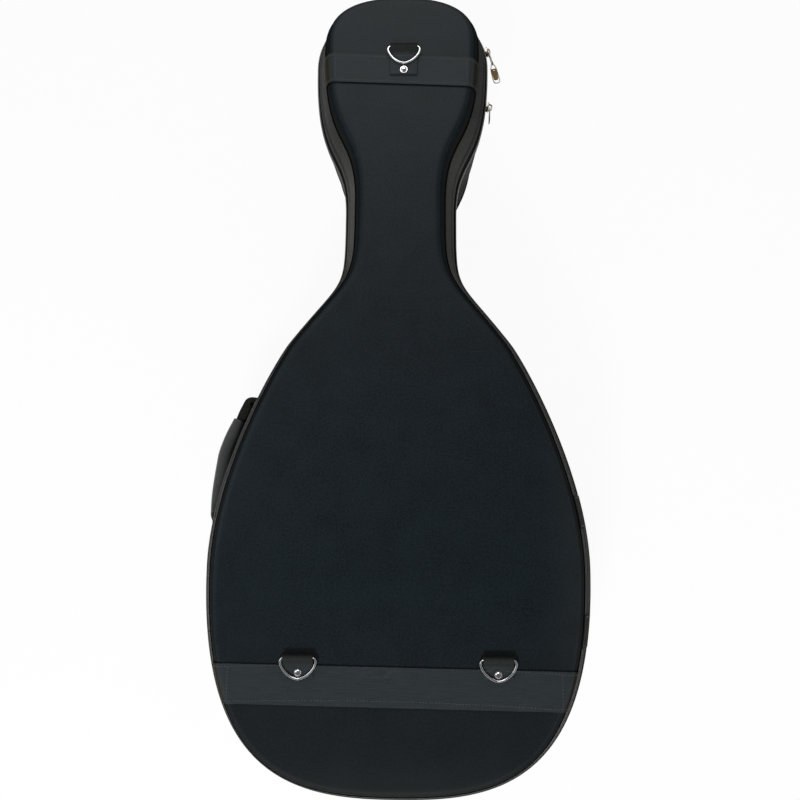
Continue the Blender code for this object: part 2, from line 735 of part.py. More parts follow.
def build_slider(name, frame, bridge_height):
    """The outer half of a zip slider: a plate with turned-in sides, and the bridge that carries the pull."""
    near, far = SLIDER_STANDOFF, SLIDER_STANDOFF + SLIDER_PLATE
    half_width, lip = SLIDER_WIDTH / 2, 0.0008
    half_length = SLIDER_LENGTH / 2
    channel = [
        (far, -half_width + lip),
        (far, half_width - lip),
        (near + lip, half_width),
        (lip, half_width),
        (lip, half_width - lip),
        (near, half_width - lip),
        (near, -half_width + lip),
        (lip, -half_width + lip),
        (lip, -half_width),
        (near + lip, -half_width),
    ]
    corners = placed_corners(frame, [(out, -half_length, rise) for out, rise in channel])
    along = frame.to_3x3() @ Vector((0, SLIDER_LENGTH, 0))
    body = extruded(f"{name}_body", corners, along, CHROME, frame.translation)
    top, leg = far + bridge_height, BRIDGE_LENGTH / 2
    bridge = [
        (far - lip, -leg),
        (top - BRIDGE_METAL, -leg),
        (top, -leg + BRIDGE_METAL),
        (top, leg - BRIDGE_METAL),
        (top - BRIDGE_METAL, leg),
        (far - lip, leg),
        (far - lip, leg - BRIDGE_METAL),
        (top - BRIDGE_METAL, leg - BRIDGE_METAL),
        (top - BRIDGE_METAL, -leg + BRIDGE_METAL),
        (far - lip, -leg + BRIDGE_METAL),
    ]
    corners = placed_corners(frame, [(out, along_y, -BRIDGE_WIDTH / 2) for out, along_y in bridge])
    combine(body, extruded(f"{name}_bridge", corners, UP * BRIDGE_WIDTH, None), "UNION")
    return body


def bridge_pin(frame, bridge_height):
    """Where a pull's wire hangs under a slider's bridge."""
    out = SLIDER_STANDOFF + SLIDER_PLATE + (bridge_height - BRIDGE_METAL) / 2
    back = BRIDGE_LENGTH / 2 - BRIDGE_METAL - PULL_WIRE / 2 - LAYER_GAP
    return frame @ Vector((out, -back, 0))


def rectangle_wire(width, length, corner):
    """A rounded rectangle of wire in the XY plane that hangs from its top bar at the origin, towards -Y."""
    half = width / 2
    points = arc((half - corner, -corner), (corner, corner), 90, 0, 2)
    points += arc((half - corner, corner - length), (corner, corner), 0, -90, 2)
    points += arc((corner - half, corner - length), (corner, corner), -90, -180, 2)
    return points + arc((corner - half, -corner), (corner, corner), 180, 90, 2)


def outward_turn(angle):
    """Turns a piece that hangs towards -Y by angle degrees away from the wall, which is towards +X."""
    return Matrix.Rotation(math.radians(angle), 4, "Z")


def frame_angle(frame):
    """Degrees by which the zip at a slider leans from the Y axis."""
    x_axis = frame.to_3x3() @ Vector((1, 0, 0))
    return math.degrees(math.atan2(x_axis.y, x_axis.x))


def build_slider_a():
    """The slider near the end, with a link and a framed pull that lies level."""
    frame = slider_frame(HEAD_END_Y - SLIDER_A_FROM_HEAD_END)
    build_slider("slider_a", frame, BRIDGE_A_HEIGHT)
    pin = bridge_pin(frame, BRIDGE_A_HEIGHT)
    stand = Matrix.Rotation(math.radians(90), 4, "Y")
    link_turn = outward_turn(frame_angle(frame))
    points = rectangle_wire(LINK_WIDTH, LINK_LENGTH, LINK_WIDTH * 0.35)
    wire_loop("slider_a_link", points, PULL_WIRE / 2, pin, link_turn @ stand, CHROME)

    eye = pin + link_turn @ Vector((0, -LINK_LENGTH, 0))
    turn = Matrix.Translation(eye) @ outward_turn(PULL_A_OUTWARD)
    half, bar = PULL_WIDTH / 2, PULL_WIRE
    hole_radius = PULL_WIRE / 2 + LAYER_GAP
    lug = hole_radius + bar
    shoulder = lug * 1.3
    outline = [
        (-lug * 0.6, lug), (lug * 0.6, lug), (lug, lug * 0.4), (half * 0.8, -shoulder), (half, -shoulder * 2),
        (half, -PULL_LENGTH + half * 0.5), (half * 0.7, -PULL_LENGTH), (-half * 0.7, -PULL_LENGTH),
        (-half, -PULL_LENGTH + half * 0.5), (-half, -shoulder * 2), (-half * 0.8, -shoulder), (-lug, lug * 0.4),
    ]
    low = -PULL_THICKNESS / 2
    corners = placed_corners(turn, [(x, y, low) for x, y in outline])
    pull = extruded("slider_a_pull", corners, UP * PULL_THICKNESS, CHROME, eye)
    inner = half - bar
    window_top = -lug - bar
    window_low = bar - PULL_LENGTH
    window = [(-inner, window_top), (inner, window_top), (inner, window_low), (-inner, window_low)]
    corners = placed_corners(turn, [(x, y, low * 3) for x, y in window])
    combine(pull, extruded("slider_a_window", corners, UP * PULL_THICKNESS * 3, None), "DIFFERENCE")
    combine(pull, post("slider_a_eye", eye, hole_radius, low * 3, -low * 3), "DIFFERENCE")
    build_pull_plate("slider_a_pull_plate", turn, inner, window_top, PULL_LENGTH)


def build_pull_plate(name, turn, inner, top, pull_length):
    """The brown plate held in a pull's frame."""
    side, length = inner - GAP, pull_length * 0.5
    corners = [(-side, top - GAP), (side, top - GAP), (side * 0.9, top - length), (-side * 0.9, top - length)]
    corners = placed_corners(turn, [(x, y, -PULL_PLATE / 2) for x, y in corners])
    extruded(name, corners, turn.to_3x3() @ Vector((0, 0, PULL_PLATE)), PULL_BROWN, turn.translation)


def build_slider_b():
    """The slider nearer the neck, whose wire-framed pull stands on edge."""
    frame = slider_frame(HEAD_END_Y - SLIDER_B_FROM_HEAD_END)
    build_slider("slider_b", frame, BRIDGE_B_HEIGHT)
    pin = bridge_pin(frame, BRIDGE_B_HEIGHT)
    turn = outward_turn(frame_angle(frame) + PULL_B_OUTWARD) @ Matrix.Rotation(math.radians(90), 4, "Y")
    points = rectangle_wire(PULL_WIDTH - PULL_WIRE, PULL_B_LENGTH - PULL_WIRE, PULL_WIDTH * 0.2)
    wire_loop("slider_b_pull", points, PULL_WIRE / 2, pin, turn, CHROME)
    top = -BRIDGE_LENGTH / 2 - PULL_WIRE
    place = Matrix.Translation(pin) @ turn
    build_pull_plate("slider_b_pull_plate", place, PULL_WIDTH / 2 - PULL_WIRE, top, PULL_B_LENGTH)


def build_cradle():
    """The plush-covered block that the neck lies on, cut to the cavity's shape."""
    face = BASE.cavity(GAP * 2 + PLUSH, CRADLE_TOP_DROP)
    bm = bmesh.new()
    rings = [level_ring(bm, OUTLINE, inset, z) for inset, z in BASE.placed(face)]
    skin(bm, rings, closed_rings=True, closed_chain=False)
    cradle = add_object("neck_cradle", bm, PLUSH_CLOTH)
    middle_y = HEAD_END_Y - CRADLE_FROM_HEAD_END
    low_y, high_y = middle_y - CRADLE_LENGTH / 2, middle_y + CRADLE_LENGTH / 2
    reach = NECK_WIDTH
    corners = [(-reach, low_y, 0), (reach, low_y, 0), (reach, high_y, 0), (-reach, high_y, 0)]
    block = extruded("cradle_block", [Vector(corner) for corner in corners], UP * BASE_DEPTH, None)
    combine(cradle, block, "INTERSECT")
    radius, floor = CRADLE_NOTCH_WIDTH / 2, BASE_DEPTH - CRADLE_TOP_DROP - CRADLE_NOTCH_DEPTH
    notch = [(radius, BASE_DEPTH)]
    for step in range(9):
        turn = math.radians(-180 * step / 8)
        notch.append((radius * math.cos(turn), floor + radius + radius * math.sin(turn)))
    notch.append((-radius, BASE_DEPTH))
    corners = [Vector((x, low_y - GAP, z)) for x, z in notch]
    reach = Vector((0, CRADLE_LENGTH + 2 * GAP, 0))
    combine(cradle, extruded("cradle_notch", corners, reach, None), "DIFFERENCE")


def main():
    built = build_halves()
    build_cloth_hinge()
    build_lid_hardware(*built["lid"])
    build_handle()
    build_grab_loop()
    build_slider_a()
    build_slider_b()
    build_cradle()


main()
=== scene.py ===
"""Cloth, webbing, zip, rings, handle and lining of a pear-shaped oud case, built round its solid model.

+X is the hinge side, +Y the head end and +Z up. Lengths are in metres. A section is drawn in the XZ
plane of a frame whose X points out of the case, Y along the edge and Z up.
"""

import bisect
import json
import math

import bmesh
import bpy
from bpy.props import FloatProperty, FloatVectorProperty, PointerProperty
from bpy.types import Operator, Panel, PropertyGroup
from mathutils import Matrix, Vector
from mathutils.bvhtree import BVHTree


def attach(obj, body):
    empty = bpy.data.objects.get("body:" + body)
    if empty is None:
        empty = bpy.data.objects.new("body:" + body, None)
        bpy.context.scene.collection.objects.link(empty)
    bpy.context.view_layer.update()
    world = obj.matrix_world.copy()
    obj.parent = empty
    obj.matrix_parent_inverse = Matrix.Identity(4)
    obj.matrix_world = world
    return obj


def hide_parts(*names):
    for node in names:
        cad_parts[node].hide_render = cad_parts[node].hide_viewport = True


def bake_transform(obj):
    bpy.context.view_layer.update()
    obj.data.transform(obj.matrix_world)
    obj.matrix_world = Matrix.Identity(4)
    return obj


bl_info = {
    "name": "Oud Case Finish",
    "version": (1, 0, 0),
    "blender": (4, 5, 0),
    "location": "View3D > Sidebar > Oud Case",
    "description": "Cloth, webbing, zip, rings, handle and lining for a pear-shaped oud case",
    "category": "Add Mesh",
}

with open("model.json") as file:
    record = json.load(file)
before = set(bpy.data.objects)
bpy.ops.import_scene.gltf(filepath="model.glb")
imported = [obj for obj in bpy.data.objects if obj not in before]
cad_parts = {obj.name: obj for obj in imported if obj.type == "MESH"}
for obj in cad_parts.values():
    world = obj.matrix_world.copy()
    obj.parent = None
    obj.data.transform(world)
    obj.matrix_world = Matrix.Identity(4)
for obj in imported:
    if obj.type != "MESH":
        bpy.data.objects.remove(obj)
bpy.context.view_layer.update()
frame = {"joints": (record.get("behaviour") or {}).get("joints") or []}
JOINTS = {joint["name"]: joint for joint in frame["joints"]}

UP = Vector((0, 0, 1))
MIRROR_X = Vector((-1, 1, 1))
GAP = 0.0003

# How far each stretch of the outline leaves and meets its end points straight, as a share of their distance
ROUNDS = ((0.32, 0.71), (0.40, 0.09), (0.63, 0.59), (0.42, 0.70), (0.27, 0.67))
EDGE_PULLS = ((0.06, 0.50), (0.42, 0.98))

# The handle's stations: distance from the tail, distance out from the zip line, width and thickness
GRIP_STATIONS = (
    (0.4130, 0.0172, 0.0235, 0.0165),
    (0.3950, 0.0170, 0.0260, 0.0200),
    (0.3755, 0.0168, 0.0265, 0.0205),
    (0.3621, 0.0150, 0.0265, 0.0200),
    (0.3310, 0.0108, 0.0255, 0.0178),
    (0.3020, 0.0084, 0.0225, 0.0125),
)
UPPER_STRAP_STATIONS = (
    (0.4530, 0.0024, 0.0240, 0.0022),
    (0.4440, 0.0032, 0.0240, 0.0030),
    (0.4412, 0.0088, 0.0240, 0.0056),
    (0.4384, 0.0150, 0.0235, 0.0076),
    (0.4348, 0.0172, 0.0225, 0.0100),
    (0.4290, 0.0166, 0.0215, 0.0124),
    (0.4220, 0.0166, 0.0205, 0.0130),
    (0.4136, 0.0172, 0.0190, 0.0112),
    (0.4080, 0.0172, 0.0170, 0.0080),
)
LOWER_STRAP_STATIONS = (
    (0.3070, 0.0086, 0.0165, 0.0065),
    (0.3013, 0.0083, 0.0180, 0.0065),
    (0.2920, 0.0066, 0.0210, 0.0045),
    (0.2822, 0.0036, 0.0240, 0.0028),
    (0.2740, 0.0024, 0.0240, 0.0022),
)
ANCHOR_SPANS = {"upper": (0.4455, 0.4805), "lower": (0.2475, 0.2815)}
ANCHOR_HEIGHTS = (0.0125, 0.058)
ANCHOR_OUT = 0.0045

# The end loop's stations on one side of the middle: distance from it, and distance out from the zip line
GRAB_STATIONS = ((-0.058, 0.0016), (-0.036, 0.0016), (-0.029, 0.0075), (-0.024, 0.020), (-0.014, 0.030), (0.0, 0.033))

# Each band: middle from the tail, height, tilt in degrees, bow, and half the width that they are given for
HEAD_BAND = (0.8215, 0.0365, -2.2, 0.0, 0.10555)
WAIST_BAND = (0.1295, 0.0410, -0.7, 0.0060, 0.2164)

# Each ring's rivet, as its distance from the ring's bar
RIVET_DROPS = {"head": 0.0285, "waist_left": 0.0148, "waist_right": 0.0148}


def length(label, default, description):
    return FloatProperty(name=label, description=description, default=default, min=0.0, precision=5, unit="LENGTH")


def amount(label, default, description, low=0.0, high=10.0):
    return FloatProperty(name=label, description=description, default=default, min=low, max=high)


def turn(label, degrees, description):
    return FloatProperty(name=label, description=description, default=math.radians(degrees), unit="ROTATION")


def colour(label, default, description):
    made = {"subtype": "COLOR", "size": 3, "min": 0.0, "max": 1.0}
    return FloatVectorProperty(name=label, description=description, default=default, **made)


class CaseShape(PropertyGroup):
    """Sizes of the case's shell."""

    length: length("Length", 0.937, "From the tail to the head end, at the zip")
    body_width: length("Body Width", 0.4328, "Greatest width of the body")
    shoulder_width: length("Shoulder Width", 0.26, "Width where the shoulders are steepest")
    neck_width: length("Neck Width", 0.1326, "Least width of the neck")
    head_width: length("Head Width", 0.2111, "Greatest width of the head")
    widest: length("Widest Place", 0.246, "Distance of the widest place from the tail")
    shoulder: length("Shoulder Place", 0.5072, "Distance of the shoulders from the tail")
    neck: length("Neck Place", 0.2715, "Distance of the narrowest place from the head end")
    head: length("Head Place", 0.0769, "Distance of the head's widest place from the head end")
    slope: turn("Shoulder Slope", 52.8, "How steeply the shoulders run towards the neck")
    base_depth: length("Base Depth", 0.170, "From the floor to the zip")
    lid_depth: length("Lid Depth", 0.065, "From the zip to the lid's face")
    base_lean: length("Base Lean", 0.010, "How far the deep half narrows from the zip to its seam")
    lid_lean: length("Lid Lean", 0.015, "How far the lid narrows from the zip to its seam")
    edge_width: length("Edge Width", 0.011, "Width of the rounded edge, seen from above")
    edge_depth: length("Edge Depth", 0.017, "Depth of the rounded edge")


class CaseTrim(PropertyGroup):
    """Sizes of the cloth, zip, webbing and stitches."""

    step: length("Step", 0.0045, "Distance between cross-sections along the outline")
    cloth: length("Side Cloth", 0.0009, "Thickness of the side cloth")
    panel: length("Face Cloth", 0.0012, "Thickness of the backed cloth on the faces")
    cord: length("Seam Cord", 0.0011, "Radius of the cord in the seams")
    hem: length("Hem", 0.011, "Distance of the side cloth's folded hem from the zip line")
    hem_width: length("Hem Width", 0.0068, "Width of the folded hem")
    tape: length("Tape Width", 0.014, "Width of each zip tape")
    coil_pitch: length("Coil Pitch", 0.002, "Distance between the coil's turns")
    coil_width: length("Coil Width", 0.0034, "Width of one half's coil")
    foam: length("Foam", 0.0243, "From the zip line to the face of the lining")
    fillet: length("Fillet", 0.014, "Radius between the lining's wall and floor")
    lip: length("Lip", 0.0035, "Radius of the lining's edge")
    band: length("Band", 0.0015, "Thickness of the webbing bands")
    stitch_pitch: length("Stitch Pitch", 0.0034, "Distance between stitches")
    stitch_length: length("Stitch Length", 0.0026, "Length of a stitch")
    stitch_width: length("Stitch Width", 0.0007, "Width of a stitch")
    hinge: length("Hinge", 0.094, "Length of the bare cloth hinge")
    patch: length("Patch", 0.037, "Length of the patch over each end of the zip")
    handle_drop: length("Handle Drop", 0.042, "Distance of the handle's middle below the zip line")
    grab_drop: length("Loop Drop", 0.024, "Distance of the end loop's middle below the zip line")
    wire: length("Ring Wire", 0.0026, "Thickness of the rings' wire")


class CaseColours(PropertyGroup):
    """Base colours of the finishes."""

    face: colour("Face Cloth", (0.0054, 0.0101, 0.0130), "Coated cloth of the two faces")
    # Partly painted light: the rubbed edges' lighter colour, laid on more towards the tail and the handle side, where
    # the key lamp shines from.
    face_worn_and_lit: colour("Worn And Lit Edge", (0.030, 0.0295, 0.027), "Where the faces' edges have rubbed")
    face_edge: colour("Rounded Edge", (0.0118, 0.0120, 0.0110), "Stretched cloth of the faces' rounded edges")
    # Painted highlights: the lighter colour of the side cloth's glints and of its hem fold, standing in for light that
    # catches them.
    side: colour("Side Cloth", (0.029, 0.029, 0.0275), "Rough cloth of the sides")
    side_glint: colour("Side Glints", (0.145, 0.142, 0.132), "Lighter threads of the side cloth")
    band: colour("Bands", (0.0200, 0.0252, 0.0280), "Webbing bands across the lid, and the rings' loops")
    band_end: colour("Band Ends", (0.0215, 0.0168, 0.0085), "Where the bands go over the rounded edge")
    loop_top_shade: colour("Loop Top Shade", (0.0190, 0.0205, 0.0205), "Where the loops' webbing goes round the rings")
    # Painted shade: the loops' webbing is darker where it curves round the rings' bars.
    webbing: colour("Webbing", (0.0125, 0.0128, 0.0105), "Straps and patches")
    grip: colour("Grip", (0.0040, 0.0052, 0.0054), "Leatherette of the grip")
    lining: colour("Lining", (0.015, 0.015, 0.018), "Plush inside the case")
    thread: colour("Thread", (0.052, 0.057, 0.058), "Stitches")
    # Near black: the cord's own black, darkened further as painted shade of the groove in the seam.
    cord: colour("Seam Cord", (0.0016, 0.0017, 0.0018), "Cord in the seams")
    nylon: colour("Zip", (0.0085, 0.0085, 0.0088), "Zip tape and coil")
    plate: colour("Pull Plates", (0.165, 0.105, 0.040), "Plates held in the zip pulls")
    steel: colour("Bright Metal", (0.75, 0.75, 0.76), "Rings and rivets")
    nickel: colour("Dark Nickel", (0.31, 0.28, 0.245), "Sliders, links and pulls")


class Studio(PropertyGroup):
    """Camera, lamps and floor."""

    camera: FloatVectorProperty(
        name="Camera", description="Place of the camera", default=(0.02365, -0.2017, 1.1711), subtype="TRANSLATION"
    )
    pitch: turn("Pitch", 9.8, "How far the camera looks towards the head end from straight down")
    yaw: turn("Yaw", -1.22, "How far the camera looks towards the hinge side")
    roll: turn("Roll", 0.35, "Turn of the picture")
    lens: amount("Lens", 39.0, "Focal length in millimetres on a 36 mm sensor", 1.0, 500.0)
    sky: amount("Sky", 0.45, "Level of the soft light from all round")
    ceiling: amount("Ceiling", 0.12, "Level that bright surfaces mirror from overhead")
    key_lamp: amount("Key Lamp", 27.0, "Power of the lamp beyond the tail, on the handle's side", 0.0, 500.0)
    grip_card: amount("Grip Card", 1.1, "Power of the card beside the handle that surfaces mirror", 0.0, 500.0)
    head_card: amount("Head Card", 18.5, "Power of the card beyond the head end that surfaces mirror", 0.0, 500.0)
    floor: amount("Floor", 0.88, "Lightness of the floor", 0.0, 1.0)
    floor_glow: amount("Floor Glow", 0.94, "How much of the floor's white the camera sees unshaded", 0.0, 1.0)


def bezier(start, start_pull, end_pull, end, steps):
    """Points from start up to, but not at, end."""
    points = []
    for step in range(steps):
        t = step / steps
        u = 1 - t
        points.append(start * u**3 + start_pull * 3 * t * u**2 + end_pull * 3 * t**2 * u + end * t**3)
    return points


def smooth_route(stations, steps):
    """A Catmull-Rom curve through stations, with steps points on each stretch."""
    ends = [stations[0] * 2 - stations[1], *stations, stations[-1] * 2 - stations[-2]]
    points = []
    for a, b, c, d in zip(ends, ends[1:], ends[2:], ends[3:]):
        points += bezier(b, b + (c - a) / 6, c - (d - b) / 6, c, steps)
    return [*points, stations[-1]]


def arc(center, radii, start, end, steps, power=1.0):
    """Points on an ellipse in the XY plane, from start to end degrees. Powers above 1 flatten its quarters."""
    points = []
    for step in range(steps + 1):
        angle = math.radians(start + (end - start) * step / steps)
        x, y = (math.copysign(abs(value) ** power, value) for value in (math.cos(angle), math.sin(angle)))
        points.append(Vector((center[0] + radii[0] * x, center[1] + radii[1] * y, 0)))
    return points


def frames_along(points, up, closed=False):
    """Frames at the points whose Y follows them, and whose Z stays as near to up as it can."""
    frames = []
    last = len(points) - 1
    for index, point in enumerate(points):
        ahead = points[(index + 1) % len(points)] if closed else points[min(index + 1, last)]
        behind = points[index - 1] if closed else points[max(index - 1, 0)]
        along = (ahead - behind).normalized()
        out = along.cross(up).normalized()
        frames.append(placed_axes(out, along, point))
    return frames


def placed_axes(out, along, place):
    """A frame from its X axis, its Y axis and its place."""
    turned = Matrix((out, along, out.cross(along))).transposed().to_4x4()
    turned.translation = place
    return turned


class Outline:
    """The case's edge at the zip line, seen from above. Distances run from the tail's middle up the right side."""

    def __init__(self, shape):
        self.tail = -shape.length / 2
        right = self.right_side(shape)
        self.points = right + [point * MIRROR_X for point in reversed(right[1:-1])]
        self.half = len(right)
        self.reach = [0.0]
        for a, b in zip(self.points, [*self.points[1:], self.points[0]]):
            self.reach.append(self.reach[-1] + (b - a).length)
        self.total = self.reach[-1]
        self.frames = frames_along(self.points, UP, True)

    def right_side(self, shape):
        head_end = shape.length / 2
        up_shoulder = Vector((-math.cos(shape.slope), math.sin(shape.slope), 0))
        stations = [
            (Vector((0, self.tail, 0)), Vector((1, 0, 0))),
            (Vector((shape.body_width / 2, self.tail + shape.widest, 0)), Vector((0, 1, 0))),
            (Vector((shape.shoulder_width / 2, self.tail + shape.shoulder, 0)), up_shoulder),
            (Vector((shape.neck_width / 2, head_end - shape.neck, 0)), Vector((0, 1, 0))),
            (Vector((shape.head_width / 2, head_end - shape.head, 0)), Vector((0, 1, 0))),
            (Vector((0, head_end, 0)), Vector((-1, 0, 0))),
        ]
        points = []
        for (a, leave), (b, meet), (near, far) in zip(stations, stations[1:], ROUNDS):
            pull = (b - a).length
            points += bezier(a, a + leave * near * pull, b - meet * far * pull, b, 60)
        return [*points, stations[-1][0]]

    def frame(self, distance):
        distance %= self.total
        index = min(bisect.bisect_right(self.reach, distance) - 1, len(self.points) - 1)
        share = (distance - self.reach[index]) / (self.reach[index + 1] - self.reach[index])
        here, ahead = self.frames[index], self.frames[(index + 1) % len(self.frames)]
        along = here.col[1].to_3d().lerp(ahead.col[1].to_3d(), share).normalized()
        place = here.translation.lerp(ahead.translation, share)
        return placed_axes(along.cross(UP), along, place)

    def walk(self, start, end, pitch):
        """Evenly spaced distances from start to end, at about the given pitch."""
        count = max(1, round(abs(end - start) / pitch))
        return [start + (end - start) * step / count for step in range(count + 1)]

    def all_round(self, pitch):
        return [self.frame(distance) for distance in self.walk(0, self.total, pitch)[:-1]]

    def stretch(self, start, end, pitch):
        return [self.frame(distance) for distance in self.walk(start, end, pitch)]

    def distance_at(self, from_tail, side=1):
        """The distance to the place on the right (1) or left (-1) that is from_tail above the tail."""
        heights = [point.y for point in self.points[: self.half]]
        y = self.tail + from_tail
        index = bisect.bisect_right(heights, y) - 1
        share = (y - heights[index]) / (heights[index + 1] - heights[index])
        found = self.reach[index] + share * (self.reach[index + 1] - self.reach[index])
        return found if side > 0 else self.total - found

    def beside(self, from_tail, out, side):
        """The point at out from the zip line, on the right or left side."""
        return self.frame(self.distance_at(from_tail, side)) @ Vector((out, 0, 0))


def inside(path, distance):
    """An (inset, height) path moved towards the foam by distance, with mitred corners."""
    moved = []
    for index, point in enumerate(path):
        normals = []
        for a, b in ((index - 1, index), (index, index + 1)):
            if a >= 0 and b < len(path):
                step = (path[b] - path[a]).normalized()
                normals.append(Vector((step.y, -step.x)))
        middle = sum(normals, Vector((0, 0))).normalized()
        moved.append(point + middle * distance / middle.dot(normals[0]))
    return moved


class Half:
    """One half of the case. Its paths are (inset from the zip line, height from the parting plane)."""

    def __init__(self, name, shape):
        self.name = name
        self.sign = 1 if name == "lid" else -1
        self.depth = shape.lid_depth if name == "lid" else shape.base_depth
        self.lean = shape.lid_lean if name == "lid" else shape.base_lean
        self.body = "lid" if name == "lid" else "case_base"
        self.zip_z = shape.base_depth
        self.edge_size = Vector((shape.edge_width, shape.edge_depth))
        self.seam = self.depth - shape.edge_depth

    def wall(self, height, inset=0.0):
        return Vector((self.lean * height / self.seam + inset, height))

    def placed(self, path):
        """The path as a section."""
        return [Vector((-inset, 0, self.zip_z + self.sign * height)) for inset, height in path]

    def edge(self):
        """The rounded edge, from the seam to the flat face."""
        pulls = [Vector(pull) for pull in EDGE_PULLS]
        curve = [*bezier(Vector((0, 0)), *pulls, Vector((1, 1)), 11), Vector((1, 1))]
        return [self.wall(self.seam) + Vector((x * self.edge_size.x, y * self.edge_size.y)) for x, y in curve]

    def face_path(self, offset, start):
        """The rounded edge and the rim of the flat face, at an offset towards the foam, from start past the seam."""
        edge = self.edge()
        path = inside([self.wall(0), *edge, edge[-1] + Vector((0.004, 0))], offset)[1:]
        path[0] = path[0].lerp(path[1], min(0.9, start / (path[1] - path[0]).length))
        return path

    def on_wall(self, height, out):
        """From an outline frame to a place on the wall, with its X out of the cloth."""
        inset, rise = self.wall(height, -out)
        lean = math.atan2(self.lean, self.seam)
        place = Matrix.Translation((-inset, 0, self.zip_z + self.sign * rise))
        return place @ Matrix.Rotation(-self.sign * lean, 4, "Y")


class Case:
    """The settings, outline and halves that every piece is built from."""

    def __init__(self, scene):
        self.shape = scene.case_shape
        self.trim = scene.case_trim
        self.colours = scene.case_colours
        self.outline = Outline(self.shape)
        self.base = Half("base", self.shape)
        self.lid = Half("lid", self.shape)
        self.halves = (self.base, self.lid)
        self.face_z = self.shape.base_depth + self.shape.lid_depth
        self.band_top = self.face_z + GAP + self.trim.band
        self.stitch = stitch_mesh(self.trim)

    def hinge_span(self, half_length):
        """The outline distances that lie half_length either side of the hinge's middle."""
        middle = self.shape.widest
        return [self.outline.distance_at(middle + side * half_length) for side in (-1, 1)]

    def wall_seam(self, half, stops, out, pitch=None):
        """Stitch places through stops of (outline distance, height) on the wall."""
        places = []
        for (start, low), (end, high) in zip(stops, stops[1:]):
            reach = math.hypot(end - start, high - low)
            count = max(1, round(reach / (pitch or self.trim.stitch_pitch)))
            angle = math.atan2((high - low) * half.sign, end - start)
            for step in range(count):
                share = (step + 0.5) / count
                here = self.outline.frame(start + (end - start) * share)
                spot = half.on_wall(low + (high - low) * share, out)
                places.append(here @ spot @ Matrix.Rotation(angle, 4, "X"))
        return places


def new_mesh():
    """An empty mesh with the UV map that swept() fills."""
    bm = bmesh.new()
    bm.loops.layers.uv.new("Cloth")
    return bm


def lengths(points):
    """How far each point lies from the first, along the line through them."""
    reach = [0.0]
    for a, b in zip(points, points[1:]):
        reach.append(reach[-1] + (b - a).length)
    return reach


def swept(bm, frames, section, closed_path=False, closed_section=True):
    """Carries a section along the frames, with a UV map in metres."""
    stops = [*frames, frames[0]] if closed_path else frames
    points = [*section, section[0]] if closed_section else section
    travelled = lengths([stop.translation for stop in stops])
    girth = lengths([stops[0] @ point for point in points])
    steps, sides = len(stops) - 1, len(points) - 1
    uv = bm.loops.layers.uv["Cloth"]
    verts = bmesh.ops.create_grid(bm, x_segments=steps, y_segments=sides, size=1)["verts"]
    for vert in verts:
        stop, side = round((vert.co.x + 1) / 2 * steps), round((vert.co.y + 1) / 2 * sides)
        vert.co = stops[stop] @ points[side]
        for loop in vert.link_loops:
            loop[uv].uv = (travelled[stop], girth[side])
    if closed_path or closed_section:
        bmesh.ops.remove_doubles(bm, verts=verts, dist=1e-6)
    if closed_section and not closed_path:
        open_ends = [edge for edge in bm.edges if edge.is_boundary]
        for face in bmesh.ops.edgeloop_fill(bm, edges=open_ends)["faces"]:
            for loop in face.loops:
                loop[uv].uv = (loop.vert.co.x + loop.vert.co.y, loop.vert.co.z)


def dish(bm, frames, section):
    """A section carried all round, with a flat face at each of its ends."""
    swept(bm, frames, section, True, False)
    bmesh.ops.holes_fill(bm, edges=[edge for edge in bm.edges if edge.is_boundary], sides=0)


def circle_section(radius, count, center=Vector()):
    points = []
    for step in range(count):
        angle = math.tau * (step + 0.5) / count
        points.append(center + Vector((radius * math.cos(angle), 0, radius * math.sin(angle))))
    return points


def flat_section(width, thickness, steps=3):
    """A flat strap's section with rounded edges: thin along X and wide along Z."""
    radius = thickness * 0.45
    points = []
    for start, x, z in ((0, 1, 1), (90, -1, 1), (180, -1, -1), (270, 1, -1)):
        for step in range(steps + 1):
            angle = math.radians(start + 90 * step / steps)
            out = x * (thickness / 2 - radius) + radius * math.cos(angle)
            points.append(Vector((out, 0, z * (width / 2 - radius) + radius * math.sin(angle))))
    return points


def oval_section(count, squareness):
    """A section of width 1 and thickness 1 that lies between an oval (1) and a rectangle (0)."""
    points = []
    for step in range(count):
        angle = math.tau * (step + 0.5) / count
        sides = [math.copysign(abs(value) ** squareness, value) / 2 for value in (math.cos(angle), math.sin(angle))]
        points.append(Vector((sides[0], 0, sides[1])))
    return points


def round_edges(bm, offset, segments, degrees=40.0, edges=None):
    """Bevels the edges that turn by more than the given angle."""
    bend = math.radians(degrees)
    chosen = [edge for edge in edges or bm.edges if edge.is_manifold and edge.calc_face_angle(0.0) > bend]
    sizes = {"offset": offset, "segments": segments, "profile": 0.5, "affect": "EDGES"}
    bmesh.ops.bevel(bm, geom=chosen, material=-1, clamp_overlap=True, **sizes)


def stitch_mesh(trim):
    """One stitch: X out of the cloth, Y along the seam."""
    bm = bmesh.new()
    bmesh.ops.create_icosphere(bm, subdivisions=1, radius=0.5)
    bmesh.ops.scale(bm, vec=(trim.stitch_width * 0.8, trim.stitch_length, trim.stitch_width), verts=bm.verts)
    bmesh.ops.rotate(bm, matrix=Matrix.Rotation(math.radians(7), 3, "X"), verts=bm.verts)
    return loose_mesh("stitch", bm)


